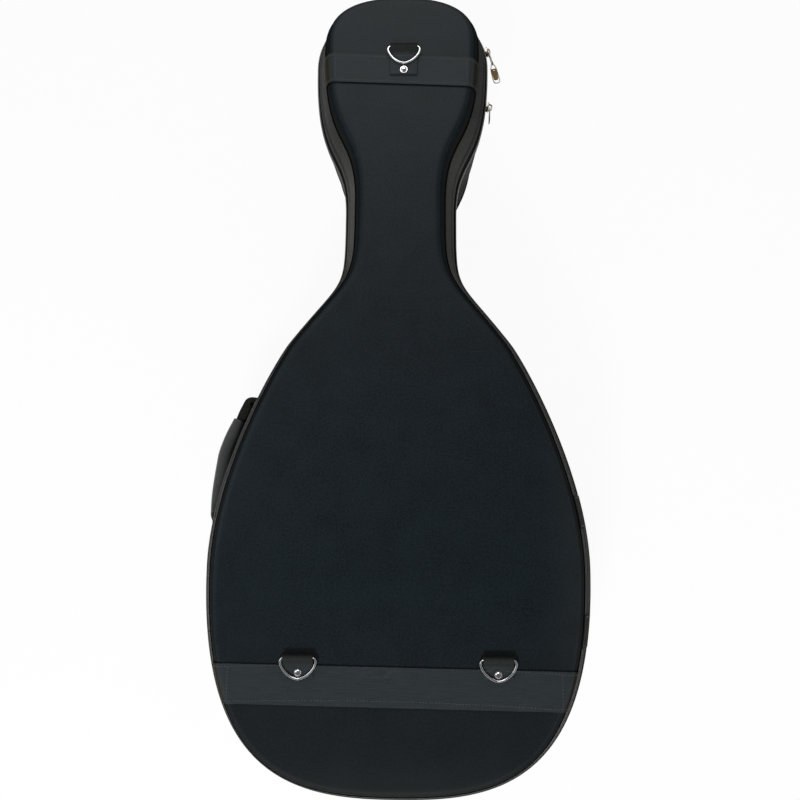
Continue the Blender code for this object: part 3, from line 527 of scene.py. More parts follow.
def coil_turn_mesh(trim):
    """One turn of the zip's coil: X out of the case, Y along the zip, Z across it."""
    bm = bmesh.new()
    bmesh.ops.create_cone(bm, segments=8, radius1=0.5, radius2=0.5, depth=1.0, cap_ends=True)
    caps = [edge for edge in bm.edges if edge.calc_face_angle(0.0) > math.radians(60)]
    bmesh.ops.bevel(bm, geom=caps, offset=0.2, segments=1, profile=0.5, affect="EDGES", material=-1)
    bmesh.ops.scale(bm, vec=(0.0024, trim.coil_pitch * 0.62, trim.coil_width), verts=bm.verts)
    bmesh.ops.rotate(bm, matrix=Matrix.Rotation(math.radians(9), 3, "X"), verts=bm.verts)
    return loose_mesh("coil_turn", bm)


def loose_mesh(name, bm):
    mesh = bpy.data.meshes.new(name)
    bm.to_mesh(mesh)
    bm.free()
    return mesh


def scatter(bm, pattern, places):
    """A copy of the pattern mesh at each place."""
    for place in places:
        copy = pattern.copy()
        copy.transform(place)
        bm.from_mesh(copy)
        bpy.data.meshes.remove(copy)


def add_piece(name, bm, materials, sharp=38.0):
    """A new object from a finished mesh."""
    bmesh.ops.recalc_face_normals(bm, faces=bm.faces)
    mesh = loose_mesh(name, bm)
    for material in materials if isinstance(materials, tuple) else (materials,):
        mesh.materials.append(material)
    mesh.shade_smooth()
    mesh.set_sharp_from_angle(angle=math.radians(sharp))
    piece = bpy.data.objects.new(name, mesh)
    bpy.context.scene.collection.objects.link(piece)
    return piece


def add_riding(name, bm, materials, body, replaced=(), sharp=38.0):
    """A new piece that moves with a body and stands for the replaced nodes."""
    piece = add_piece(name, bm, materials, sharp)
    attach(piece, body)
    if replaced:
        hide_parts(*replaced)
    return piece


def add_bending(name, bm, materials, slot, bodies, ends, replaced=()):
    """A new piece, fixed in world space, that stands for the replaced nodes."""
    piece = add_piece(name, bm, materials)
    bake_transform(piece)
    if replaced:
        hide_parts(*replaced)
    return piece


class Nodes:
    """Adds nodes to a material or group, and links them."""

    def __init__(self, tree):
        self.tree = tree

    def feed(self, socket, value):
        if isinstance(value, bpy.types.NodeSocket):
            self.tree.links.new(value, socket)
        else:
            socket.default_value = value

    def add(self, kind, inputs=None, **settings):
        made = self.tree.nodes.new(kind)
        for key, value in settings.items():
            setattr(made, key, value)
        for label, value in (inputs or {}).items():
            self.feed(made.inputs[label], value)
        return made

    def math(self, operation, *values, clamp=False):
        made = self.add("ShaderNodeMath", dict(enumerate(values)), operation=operation, use_clamp=clamp)
        return made.outputs[0]

    def vector_math(self, operation, *values):
        made = self.add("ShaderNodeVectorMath", operation=operation)
        for value in values:
            label = "Scale" if operation == "SCALE" and value is values[-1] else values.index(value)
            self.feed(made.inputs[label], value)
        return made.outputs[0]

    def stretched(self, vector, scale):
        return self.add("ShaderNodeMapping", {"Vector": vector, "Scale": scale}).outputs[0]

    def noise(self, vector, scale, detail=2.0, roughness=0.5, output="Fac"):
        inputs = {"Vector": vector, "Scale": scale, "Detail": detail, "Roughness": roughness}
        return self.add("ShaderNodeTexNoise", inputs).outputs[output]

    def span(self, value, low, high, new_low=0.0, new_high=1.0, smooth=False):
        inputs = {"Value": value, "From Min": low, "From Max": high, "To Min": new_low, "To Max": new_high}
        kind = "SMOOTHSTEP" if smooth else "LINEAR"
        return self.add("ShaderNodeMapRange", inputs, interpolation_type=kind).outputs[0]

    def blend(self, factor, first, second):
        """Mixes two colours."""
        made = self.add("ShaderNodeMix", data_type="RGBA")
        for index, value in ((0, factor), (6, first), (7, second)):
            self.feed(made.inputs[index], (*value, 1) if isinstance(value, tuple) else value)
        return made.outputs[2]

    def bump(self, height, distance, normal=None):
        inputs = {"Height": height, "Distance": distance, "Strength": 1.0}
        if normal:
            inputs["Normal"] = normal
        return self.add("ShaderNodeBump", inputs).outputs[0]

    def group(self, tree, inputs):
        made = self.add("ShaderNodeGroup", node_tree=tree)
        for label, value in inputs.items():
            self.feed(made.inputs[label], value)
        return made


def node_group(name, inputs, outputs, build):
    """A shader group, made once, with number inputs after its Vector."""
    if name in bpy.data.node_groups:
        return bpy.data.node_groups[name]
    tree = bpy.data.node_groups.new(name, "ShaderNodeTree")
    tree.interface.new_socket("Vector", in_out="INPUT", socket_type="NodeSocketVector")
    for label, default in inputs.items():
        tree.interface.new_socket(label, in_out="INPUT", socket_type="NodeSocketFloat").default_value = default
    for label in outputs:
        tree.interface.new_socket(label, in_out="OUTPUT", socket_type="NodeSocketFloat")
    start, end = tree.nodes.new("NodeGroupInput"), tree.nodes.new("NodeGroupOutput")
    nodes = Nodes(tree)
    for label, value in build(nodes, start.outputs).items():
        nodes.feed(end.inputs[label], value)
    return tree


def plain_weave():
    """Threads that pass over and under each other, with uneven thickness and tone."""

    def build(nodes, given):
        scaled = nodes.vector_math("SCALE", given["Vector"], given["Threads"])
        drift = nodes.noise(scaled, 0.11, 2.0, output="Color")
        centred = nodes.vector_math("SUBTRACT", drift, (0.5, 0.5, 0.5))
        uneven = nodes.vector_math("ADD", scaled, nodes.vector_math("SCALE", centred, given["Slub"]))
        parts = nodes.add("ShaderNodeSeparateXYZ", {0: uneven}).outputs
        waves = [nodes.math("SINE", nodes.math("MULTIPLY", part, math.pi)) for part in parts[:2]]
        warp, weft = [nodes.math("ABSOLUTE", wave) for wave in waves]
        over = nodes.math("GREATER_THAN", nodes.math("MULTIPLY", *waves), 0.0)
        under = nodes.math("SUBTRACT", 1.0, over)
        height = nodes.math("ADD", nodes.math("MULTIPLY", warp, over), nodes.math("MULTIPLY", weft, under))
        tones = [
            nodes.noise(nodes.stretched(uneven, scale), 1.0, 1.0) for scale in ((0.03, 0.9, 0.03), (0.9, 0.03, 0.03))
        ]
        shade = nodes.math("MULTIPLY", nodes.math("ADD", *tones), 0.5)
        return {"Height": height, "Shade": shade}

    return node_group("Plain Weave", {"Threads": 1200.0, "Slub": 0.8}, ("Height", "Shade"), build)


def webbing_ribs():
    """Chevron ribs of a woven strap: the vector's X runs along it and Y across."""

    def build(nodes, given):
        parts = nodes.add("ShaderNodeSeparateXYZ", {0: given["Vector"]}).outputs
        zigzag = nodes.math("PINGPONG", nodes.math("MULTIPLY", parts[1], given["Chevrons"]), 0.5)
        rib = nodes.math("ADD", nodes.math("MULTIPLY", parts[0], given["Ribs"]), nodes.math("MULTIPLY", zigzag, 3.0))
        height = nodes.math("ABSOLUTE", nodes.math("SINE", nodes.math("MULTIPLY", rib, math.pi)))
        threads = nodes.noise(nodes.stretched(given["Vector"], (60.0, 1400.0, 1.0)), 1.0, 1.0)
        shade = nodes.math("ADD", nodes.math("MULTIPLY", threads, 0.6), nodes.math("MULTIPLY", height, 0.4))
        return {"Height": height, "Shade": shade}

    return node_group("Webbing Ribs", {"Ribs": 650.0, "Chevrons": 150.0}, ("Height", "Shade"), build)


def pebble_grain():
    """Rounded pebbles with creases between them, as on leatherette."""

    def build(nodes, given):
        warped = nodes.vector_math(
            "ADD", given["Vector"], nodes.vector_math("SCALE", nodes.noise(given["Vector"], 300.0, output="Color"), 0.001)
        )
        inputs = {"Vector": warped, "Scale": given["Cells"]}
        cells = nodes.add("ShaderNodeTexVoronoi", inputs, feature="DISTANCE_TO_EDGE").outputs["Distance"]
        return {"Height": nodes.span(cells, 0.0, 0.22, smooth=True)}

    return node_group("Pebble Grain", {"Cells": 850.0}, ("Height",), build)


def patchy_wear():
    """A mask of soft, uneven patches, for dust, rubbing and finger marks."""

    def build(nodes, given):
        broad = nodes.noise(given["Vector"], given["Size"], 5.0, 0.62)
        fine = nodes.noise(given["Vector"], nodes.math("MULTIPLY", given["Size"], 14.0), 3.0, 0.7)
        mixed = nodes.math("ADD", nodes.math("MULTIPLY", broad, 0.7), nodes.math("MULTIPLY", fine, 0.3))
        low = nodes.math("SUBTRACT", 0.72, nodes.math("MULTIPLY", given["Amount"], 0.4))
        high = nodes.math("ADD", low, 0.18)
        return {"Mask": nodes.span(mixed, low, high, smooth=True)}

    return node_group("Patchy Wear", {"Size": 9.0, "Amount": 0.4}, ("Mask",), build)


class Finish:
    """Starts a material: its nodes, its shader and the coordinates that its patterns use."""

    def __init__(self, name, uv, roughness, **constants):
        self.material = bpy.data.materials.new(name)
        self.material.use_nodes = True
        self.nodes = Nodes(self.material.node_tree)
        self.shader = self.material.node_tree.nodes["Principled BSDF"]
        self.shader.inputs["Roughness"].default_value = roughness
        for label, value in constants.items():
            self.shader.inputs[label.replace("_", " ").title().replace("Ior", "IOR")].default_value = value
        coordinates = self.nodes.add("ShaderNodeTexCoord").outputs
        self.object_space = coordinates["Object"]
        self.vector = coordinates["UV"] if uv else coordinates["Object"]

    def set(self, **inputs):
        for label, value in inputs.items():
            self.nodes.feed(self.shader.inputs[label.replace("_", " ").title()], value)


def finish_made(name, build):
    """The named material, built on first use."""
    return bpy.data.materials.get(name) or build().material


def face_cloth(case):
    """Coated cloth: nearly smooth, with a fine weave, soft waves over the foam, dust, lighter strips at the tail end
    and the hinge side, and rubbed edges that are partly painted light.
    """

    def build():
        made = Finish("face_cloth", False, 0.7, specular_ior_level=0.0, coat_roughness=0.5)
        nodes, base = made.nodes, tuple(case.colours.face)
        weave = nodes.group(plain_weave(), {"Vector": made.vector, "Threads": 1500.0, "Slub": 0.6}).outputs
        dust = nodes.group(patchy_wear(), {"Vector": made.vector, "Size": 7.0, "Amount": 0.32}).outputs["Mask"]
        parts = nodes.add("ShaderNodeSeparateXYZ", {0: made.vector}).outputs
        middle = case.face_z / 2
        from_middle = nodes.math("ABSOLUTE", nodes.math("SUBTRACT", parts[2], middle))
        flat = nodes.span(from_middle, middle - 0.0036, middle - 0.0003, smooth=True)
        edge = nodes.span(from_middle, middle - 0.0110, middle - 0.0006, 1.0, 0.0, True)
        rubbed = nodes.span(nodes.noise(made.vector, 160.0, 4.0, 0.7), 0.35, 0.65, 0.35, 1.0)
        # The rubbed edge is laid on more towards the tail and the handle side: partly real wear, partly painted light
        # from the key lamp's side.
        tailwards = nodes.span(parts[1], 0.05, -0.35, 0.08, 1.0, True)
        handle_side = nodes.span(parts[0], -0.15, 0.18, 1.0, 0.45, True)
        where = nodes.math("MULTIPLY", tailwards, handle_side)
        wear_and_painted_light = nodes.math("MULTIPLY", nodes.math("MULTIPLY", edge, rubbed), where)
        mottled = nodes.span(nodes.noise(made.vector, 26.0, 4.0, 0.6), 0.3, 0.7)
        grainy = nodes.span(nodes.noise(made.vector, 430.0, 2.0, 0.7), 0.36, 0.64)
        shade = nodes.math("MULTIPLY", nodes.math("ADD", mottled, weave["Shade"]), 0.5)
        shade = nodes.span(nodes.math("ADD", shade, grainy), 0.0, 2.0)
        toned = nodes.blend(shade, tuple(v * 0.35 for v in base), tuple(v * 1.65 for v in base))
        # Lighter towards the tail end and along the hinge side, on top of patchy dust.
        tail_end = nodes.span(parts[1], -0.40, -0.458, 0.0, 0.40, True)
        hinge_side = nodes.span(parts[0], 0.145, 0.20, 0.0, 0.28, True)
        dust_and_lighter_rims = nodes.math("MAXIMUM", nodes.math("MULTIPLY", dust, 0.20), nodes.math("MAXIMUM", tail_end, hinge_side))
        dusty = nodes.blend(dust_and_lighter_rims, toned, (0.026, 0.029, 0.029))
        greyer = nodes.blend(nodes.span(parts[1], -0.22, -0.40, 0.0, 0.4, True), dusty, (0.0115, 0.0120, 0.0122))
        edged = nodes.blend(nodes.math("MULTIPLY", edge, 0.95), greyer, tuple(case.colours.face_edge))
        color = nodes.blend(wear_and_painted_light, edged, tuple(case.colours.face_worn_and_lit))
        soft = nodes.bump(nodes.noise(made.vector, 11.0, 1.0), 0.0022)
        crease = nodes.bump(nodes.noise(made.vector, 60.0, 3.0), 0.00018, soft)
        normal = nodes.bump(weave["Height"], 0.00005, crease)
        coat = nodes.span(flat, 0.0, 1.0, 0.02, 0.36)
        made.set(base_color=color, coat_weight=coat, normal=normal)
        return made

    return finish_made("face_cloth", build)


def side_cloth(case):
    """Coarse, rough cloth with patchy dust, painted glints on its raised threads, a painted highlight along the hem's
    fold, and painted shade in the groove above the hem and towards the head end.
    """

    def build():
        made = Finish("side_cloth", True, 0.9, specular_ior_level=0.02, sheen_weight=0.10, sheen_roughness=0.4)
        nodes, colours = made.nodes, case.colours
        weave = nodes.group(plain_weave(), {"Vector": made.vector, "Threads": 950.0, "Slub": 1.4}).outputs
        # Painted glints: lighter spots on the weave's raised threads, standing in for light caught by the rough cloth.
        glint_specks = nodes.span(nodes.noise(made.vector, 640.0, 3.0, 0.85), 0.47, 0.64)
        lit = nodes.math("MULTIPLY", glint_specks, weave["Height"])
        dust = nodes.group(patchy_wear(), {"Vector": made.object_space, "Size": 12.0, "Amount": 0.3}).outputs["Mask"]
        base = tuple(colours.side)
        toned = nodes.blend(weave["Shade"], tuple(v * 0.5 for v in base), tuple(v * 1.4 for v in base))
        speckled = nodes.blend(nodes.math("MULTIPLY", lit, 0.9), toned, tuple(colours.side_glint))
        dusty = nodes.blend(nodes.math("MULTIPLY", dust, 0.25), speckled, (0.05, 0.049, 0.046))
        across = nodes.add("ShaderNodeSeparateXYZ", {0: made.vector}).outputs[1]
        # Painted highlight: a lighter line along the hem's fold, where light catches its ridge.
        fold_highlight = nodes.span(nodes.math("ABSOLUTE", nodes.math("SUBTRACT", across, 0.0020)), 0.0004, 0.0020, 0.55, 0.0)
        # Painted shade: a dark line in the groove at the top of the hem.
        groove_shade = nodes.span(nodes.math("ABSOLUTE", nodes.math("SUBTRACT", across, 0.0086)), 0.0003, 0.0012, 0.75, 0.0)
        wear_and_painted_light = nodes.blend(fold_highlight, dusty, tuple(colours.side_glint))
        # Painted shade: the side cloth darkens towards the head end, away from the key lamp.
        along = nodes.add("ShaderNodeSeparateXYZ", {0: made.object_space}).outputs[1]
        head_end_shade = nodes.blend(nodes.span(along, 0.20, 0.33, 0.0, 0.72, True), wear_and_painted_light, (0.008, 0.008, 0.008))
        color = nodes.blend(groove_shade, head_end_shade, (0.004, 0.004, 0.004))
        soft = nodes.bump(nodes.noise(made.object_space, 14.0, 2.0), 0.0018)
        normal = nodes.bump(weave["Height"], 0.00016, soft)
        made.set(base_color=color, normal=normal)
        return made

    return finish_made("side_cloth", build)


def woven_strap(case, name, base, uv, ribs, coat=0.0, other=None, levels=(0.0, 0.0), shade=0.0):
    """Webbing with chevron ribs and fuzz. Between the two levels it turns to the other colour, darkened on the right by
    painted shade.
    """

    def build():
        made = Finish(name, uv, 0.85, specular_ior_level=0.05, coat_roughness=0.5)
        nodes = made.nodes
        inputs = {"Vector": made.vector, "Ribs": ribs, "Chevrons": ribs * 0.22}
        weave = nodes.group(webbing_ribs(), inputs).outputs
        fuzz = nodes.noise(made.object_space, 900.0, 3.0, 0.7)
        wear = nodes.group(patchy_wear(), {"Vector": made.object_space, "Size": 20.0, "Amount": 0.35}).outputs["Mask"]
        toned = nodes.blend(weave["Shade"], tuple(v * 0.42 for v in base), tuple(v * 1.6 for v in base))
        color = nodes.blend(nodes.math("MULTIPLY", wear, 0.5), toned, tuple(v * 1.9 for v in base))
        normal = nodes.bump(weave["Height"], 0.00016, nodes.bump(fuzz, 0.00010))
        if other:
            height = nodes.add("ShaderNodeSeparateXYZ", {0: made.object_space}).outputs[2]
            turned = nodes.span(height, *levels, smooth=True)
            speckled = nodes.blend(fuzz, tuple(v * 0.6 for v in other), tuple(v * 1.4 for v in other))
            # Painted shade: the turned part darkens towards the right, away from the key lamp on the handle side.
            sideways = nodes.add("ShaderNodeSeparateXYZ", {0: made.object_space}).outputs[0]
            painted_right_shade = nodes.blend(nodes.span(sideways, -0.06, 0.06, 0.0, shade), speckled, (0.004, 0.004, 0.003))
            color = nodes.blend(turned, color, painted_right_shade)
            made.set(coat_weight=nodes.span(turned, 0.0, 1.0, coat, 0.0))
        made.set(base_color=color, normal=normal)
        return made

    return finish_made(name, build)


def band_webbing(case):
    colours = case.colours
    levels = (case.face_z + 0.0005, case.face_z - 0.0035)
    base, end = tuple(colours.band), tuple(colours.band_end)
    # 0.55 is how strongly painted shade darkens the band ends on the right.
    return woven_strap(case, "band_webbing", base, False, 520.0, 0.22, end, levels, 0.55)


def band_edge_shade(case):
    """The bands' edge faces, painted near black as the shade in the crease along each edge."""

    def build():
        made = Finish("band_edge_shade", False, 0.95, specular_ior_level=0.0)
        fibres = made.nodes.noise(made.vector, 700.0, 2.0)
        made.set(base_color=made.nodes.blend(fibres, (0.002, 0.002, 0.002), (0.006, 0.007, 0.007)))
        return made

    return finish_made("band_edge_shade", build)


def loop_webbing(case):
    colours = case.colours
    levels = (case.band_top + 0.0022, case.band_top + 0.0040)
    # The loops darken to a painted shade where they curve round the bars.
    return woven_strap(case, "loop_webbing", tuple(colours.band), True, 430.0, 0.22, tuple(colours.loop_top_shade), levels)


def strap_webbing(case):
    return woven_strap(case, "strap_webbing", tuple(case.colours.webbing), True, 640.0)


def zip_tape_cloth(case):
    return woven_strap(case, "zip_tape_cloth", tuple(v * 1.6 for v in case.colours.nylon), True, 900.0)


def leatherette(case):
    """Pebbled leatherette, polished where it is held."""

    def build():
        made = Finish("grip_leatherette", False, 0.30, specular_ior_level=0.65)
        nodes = made.nodes
        grain = nodes.group(pebble_grain(), {"Vector": made.vector, "Cells": 820.0}).outputs["Height"]
        wear = nodes.group(patchy_wear(), {"Vector": made.vector, "Size": 40.0, "Amount": 0.45}).outputs["Mask"]
        base = tuple(case.colours.grip)
        toned = nodes.blend(grain, tuple(v * 0.55 for v in base), base)
        color = nodes.blend(nodes.math("MULTIPLY", wear, 0.3), toned, tuple(v * 1.5 for v in base))
        wrinkles = nodes.bump(nodes.noise(nodes.stretched(made.vector, (1, 1, 0.4)), 70.0, 3.0), 0.0004)
        normal = nodes.bump(grain, 0.00010, wrinkles)
        made.set(base_color=color, roughness=nodes.span(wear, 0, 1, 0.36, 0.26), normal=normal)
        return made

    return finish_made("grip_leatherette", build)


def grip_inside(case):
    """Dark brown backing seen in the grip's open ends."""

    def build():
        made = Finish("grip_inside", False, 0.9)
        fibres = made.nodes.noise(made.vector, 900.0, 3.0)
        color = made.nodes.blend(fibres, (0.010, 0.006, 0.004), (0.034, 0.020, 0.013))
        made.set(base_color=color, normal=made.nodes.bump(fibres, 0.0002))
        return made

    return finish_made("grip_inside", build)


def plush(case):
    """Short dense pile with brushed patches."""

    def build():
        made = Finish("lining_plush", False, 0.95, specular_ior_level=0.1, sheen_weight=0.55, sheen_roughness=0.35)
        nodes = made.nodes
        pile = nodes.noise(made.vector, 1500.0, 2.0, 0.8)
        brushed = nodes.noise(made.vector, 18.0, 4.0, 0.6)
        base = tuple(case.colours.lining)
        tone = nodes.math("ADD", nodes.math("MULTIPLY", pile, 0.55), nodes.math("MULTIPLY", brushed, 0.45))
        color = nodes.blend(nodes.span(tone, 0.3, 0.7), tuple(v * 0.5 for v in base), tuple(v * 1.9 for v in base))
        normal = nodes.bump(pile, 0.00035, nodes.bump(brushed, 0.0012))
        made.set(base_color=color, normal=normal)
        return made

    return finish_made("lining_plush", build)


def sewing_thread(case):
    """Twisted thread."""

    def build():
        made = Finish("sewing_thread", False, 0.6, specular_ior_level=0.4)
        twist = made.nodes.noise(made.vector, 2500.0, 1.0)
        base = tuple(case.colours.thread)
        color = made.nodes.blend(twist, tuple(v * 0.6 for v in base), tuple(v * 1.5 for v in base))
        made.set(base_color=color, normal=made.nodes.bump(twist, 0.0001))
        return made

    return finish_made("sewing_thread", build)


def seam_cord(case):
    """Black covered cord, darkened near black also as painted shade of the seam's groove."""

    def build():
        made = Finish("seam_cord", True, 0.85, specular_ior_level=0.05)
        nodes = made.nodes
        weave = nodes.group(plain_weave(), {"Vector": made.vector, "Threads": 2200.0, "Slub": 0.5}).outputs
        scuffs = nodes.group(patchy_wear(), {"Vector": made.object_space, "Size": 50.0, "Amount": 0.2}).outputs["Mask"]
        color = nodes.blend(nodes.math("MULTIPLY", scuffs, 0.3), tuple(case.colours.cord), (0.012, 0.012, 0.012))
        made.set(base_color=color, normal=nodes.bump(weave["Height"], 0.00006))
        return made

    return finish_made("seam_cord", build)


def coil_nylon(case):
    """Moulded nylon of the zip's coil."""

    def build():
        made = Finish("coil_nylon", False, 0.34, specular_ior_level=0.5)
        nodes = made.nodes
        wear = nodes.group(patchy_wear(), {"Vector": made.vector, "Size": 90.0, "Amount": 0.4}).outputs["Mask"]
        base = tuple(case.colours.nylon)
        color = nodes.blend(nodes.math("MULTIPLY", wear, 0.5), base, tuple(v * 2.4 for v in base))
        made.set(base_color=color, roughness=nodes.span(wear, 0, 1, 0.30, 0.5))
        return made

    return finish_made("coil_nylon", build)


def plated(case, name, base):
    """Plated metal with fine scratches and finger marks."""

    def build():
        made = Finish(name, False, 0.16, metallic=1.0)
        nodes = made.nodes
        marks = nodes.group(patchy_wear(), {"Vector": made.vector, "Size": 120.0, "Amount": 0.45}).outputs["Mask"]
        scratches = nodes.noise(nodes.stretched(made.vector, (300.0, 2600.0, 900.0)), 1.0, 2.0, 0.7)
        color = nodes.blend(nodes.math("MULTIPLY", marks, 0.4), base, tuple(v * 0.72 for v in base))
        roughness = nodes.math("ADD", nodes.span(marks, 0, 1, 0.12, 0.27), nodes.math("MULTIPLY", scratches, 0.06))
        made.set(base_color=color, roughness=roughness, normal=nodes.bump(scratches, 0.00002))
        return made

    return finish_made(name, build)


def bright_metal(case):
    return plated(case, "bright_metal", tuple(case.colours.steel))


def dark_nickel(case):
    return plated(case, "dark_nickel", tuple(case.colours.nickel))


def plate_brown(case):
    """Brown coated plate, rubbed at its edges."""

    def build():
        made = Finish("plate_brown", False, 0.6, specular_ior_level=0.15)
        nodes = made.nodes
        grain = nodes.noise(nodes.stretched(made.vector, (1400.0, 350.0, 1400.0)), 1.0, 3.0)
        wear = nodes.group(patchy_wear(), {"Vector": made.vector, "Size": 260.0, "Amount": 0.5}).outputs["Mask"]
        base = tuple(case.colours.plate)
        toned = nodes.blend(grain, tuple(v * 0.6 for v in base), tuple(v * 1.3 for v in base))
        color = nodes.blend(nodes.math("MULTIPLY", wear, 0.25), toned, (0.21, 0.16, 0.09))
        made.set(base_color=color, normal=nodes.bump(grain, 0.00004))
        return made

    return finish_made("plate_brown", build)


def add_stitching(case, name, places, body=None, bend=None):
    """Rows of stitches as one piece, on a body, or fixed in world space beside their cloth."""
    bm = bmesh.new()
    scatter(bm, case.stitch, places)
    if bend:
        return add_bending(name, bm, sewing_thread(case), "black_cord", *bend)
    return add_riding(name, bm, sewing_thread(case), body)


class CASE_OT_face_panels(Operator):
    """Add the coated cloth of the lid's face and the back, with its rounded edge"""

    bl_idname = "oud_case.face_panels"
    bl_label = "Face Panels"

    def execute(self, context):
        case = Case(context.scene)
        frames = case.outline.all_round(case.trim.step)
        for half in case.halves:
            start = case.trim.cord * 0.8
            outer = half.face_path(0, start)
            inner = half.face_path(case.trim.panel, start)
            bm = new_mesh()
            dish(bm, frames, half.placed([*reversed(outer), *inner]))
            name = f"{half.name}_face_panel"
            add_riding(f"{half.name}_face_cloth", bm, face_cloth(case), half.body, (name,), 50.0)
        return {"FINISHED"}


class CASE_OT_sides(Operator):
    """Add the side cloth of both halves, with its folded hem, its row of stitches and the cord in the seam"""

    bl_idname = "oud_case.sides"
    bl_label = "Side Cloth"

    def section(self, case, half):
        """The side cloth's closed path, from the hem up to the seam and back down its inner face."""
        hem, width = case.trim.hem, case.trim.hem_width
        top = half.seam - case.trim.cord * 0.7
        reach = top - hem - width
        path = [
            half.wall(hem, 0.0004),
            half.wall(hem + 0.0002, -0.0004),
            half.wall(hem + 0.0009, -0.0008),
            half.wall(hem + width - 0.0012, -0.0007),
            half.wall(hem + width, 0.0),
        ]
        for share, puff in ((0.2, 0.0003), (0.5, 0.0007), (0.8, 0.0004), (0.93, 0.0001)):
            path.append(half.wall(hem + width + reach * share, -puff))
        path += [half.wall(top, 0.0006), half.wall(top, 0.0006 + case.trim.cloth)]
        for share in (0.75, 0.5, 0.25, 0.0):
            path.append(half.wall(hem + (top - hem) * share, case.trim.cloth))
        return half.placed(path)

    def execute(self, context):
        case = Case(context.scene)
        frames = case.outline.all_round(case.trim.step)
        for half in case.halves:
            bm = new_mesh()
            swept(bm, frames, self.section(case, half), True)
            name = f"{half.name}_side_gusset"
            add_riding(f"{half.name}_side_cloth", bm, side_cloth(case), half.body, (name,))
            center = half.placed([half.wall(half.seam, -0.0005)])[0]
            bm = new_mesh()
            swept(bm, frames, circle_section(case.trim.cord, 10, center), True)
            name = f"{half.name}_seam_piping"
            add_riding(f"{half.name}_seam_cord", bm, seam_cord(case), half.body, (name,))
            height = case.trim.hem + 0.0021
            places = case.wall_seam(half, ((0, height), (case.outline.total, height)), 0.0009)
            add_stitching(case, f"{half.name}_hem_stitching", places, half.body)
        return {"FINISHED"}


class CASE_OT_zip(Operator):
    """Add the zip's tapes and its two rows of coil"""

    bl_idname = "oud_case.zip"
    bl_label = "Zip"

    def execute(self, context):
        case = Case(context.scene)
        trim, outline = case.trim, case.outline
        low, high = case.hinge_span(trim.hinge / 2 + trim.patch + GAP)
        start, end = high, low + outline.total
        frames = outline.stretch(start, end, trim.step)
        turn_mesh = coil_turn_mesh(trim)
        under = trim.cloth + GAP
        for half in case.halves:
            path = [half.wall(0.0006, under), half.wall(0.0022, under - 0.0003), half.wall(trim.tape, under)]
            path += [half.wall(trim.tape, under + 0.0008), half.wall(0.0006, under + 0.0008)]
            bm = new_mesh()
            swept(bm, frames, half.placed(path))
            add_riding(
                f"{half.name}_tape", bm, zip_tape_cloth(case), half.body, (f"{half.name}_zip_tape",)
            )
            center = half.placed([Vector((0.0002, 0.0021))])[0]
            squashed = [center + Vector((point.x * 1.4, 0, point.z * 2.2)) for point in circle_section(0.0006, 8)]
            bm = new_mesh()
            swept(bm, frames, squashed)
            shift = 0 if half.name == "lid" else trim.coil_pitch / 2
            middle = Matrix.Translation(half.placed([Vector((0.0003, 0.0014))])[0])
            lean = Matrix.Scale(half.sign, 4, UP)
            spots = outline.walk(start + 0.001, end - 0.003, trim.coil_pitch)
            scatter(bm, turn_mesh, [outline.frame(spot + shift) @ middle @ lean for spot in spots])
            add_riding(f"{half.name}_coil", bm, coil_nylon(case), half.body, (f"{half.name}_zip_coil",))
        return {"FINISHED"}


class CASE_OT_linings(Operator):
    """Add the plush lining of both halves, with its rounded lip and corners"""

    bl_idname = "oud_case.linings"
    bl_label = "Linings"

    def path(self, case, half):
        """The lining's face from its outer rim, over the lip, down the wall and onto the floor."""
        trim = case.trim
        rim, lip, fillet, floor = 0.0008, trim.lip, trim.fillet, half.depth - 0.0203
        wall_top = half.wall(rim + lip, trim.foam)
        foot = half.wall(floor - fillet, trim.foam)
        path = [Vector((0.0026, rim)), Vector((0.012, rim - 0.0002))]
        for step in range(5):
            angle = math.radians(90 * step / 4)
            path.append(Vector((wall_top.x - lip + lip * math.sin(angle), rim + lip - lip * math.cos(angle))))
        path.append(wall_top.lerp(foot, 0.5))
        for step in range(7):
            angle = math.radians(90 * step / 6)
            path.append(Vector((foot.x + fillet - fillet * math.cos(angle), foot.y + fillet * math.sin(angle))))
        return [*path, path[-1] + Vector((0.003, 0))]

    def execute(self, context):
        case = Case(context.scene)
        frames = case.outline.all_round(case.trim.step)
        for half in case.halves:
            face = self.path(case, half)
            back = inside(face, -0.002)
            bm = new_mesh()
            dish(bm, frames, half.placed([*reversed(back), *face]))
            nodes = (f"{half.name}_lining", f"{half.name}_foam_shell")
            lining = add_riding(f"{half.name}_plush_lining", bm, plush(case), half.body, nodes, 60.0)
        return {"FINISHED"}


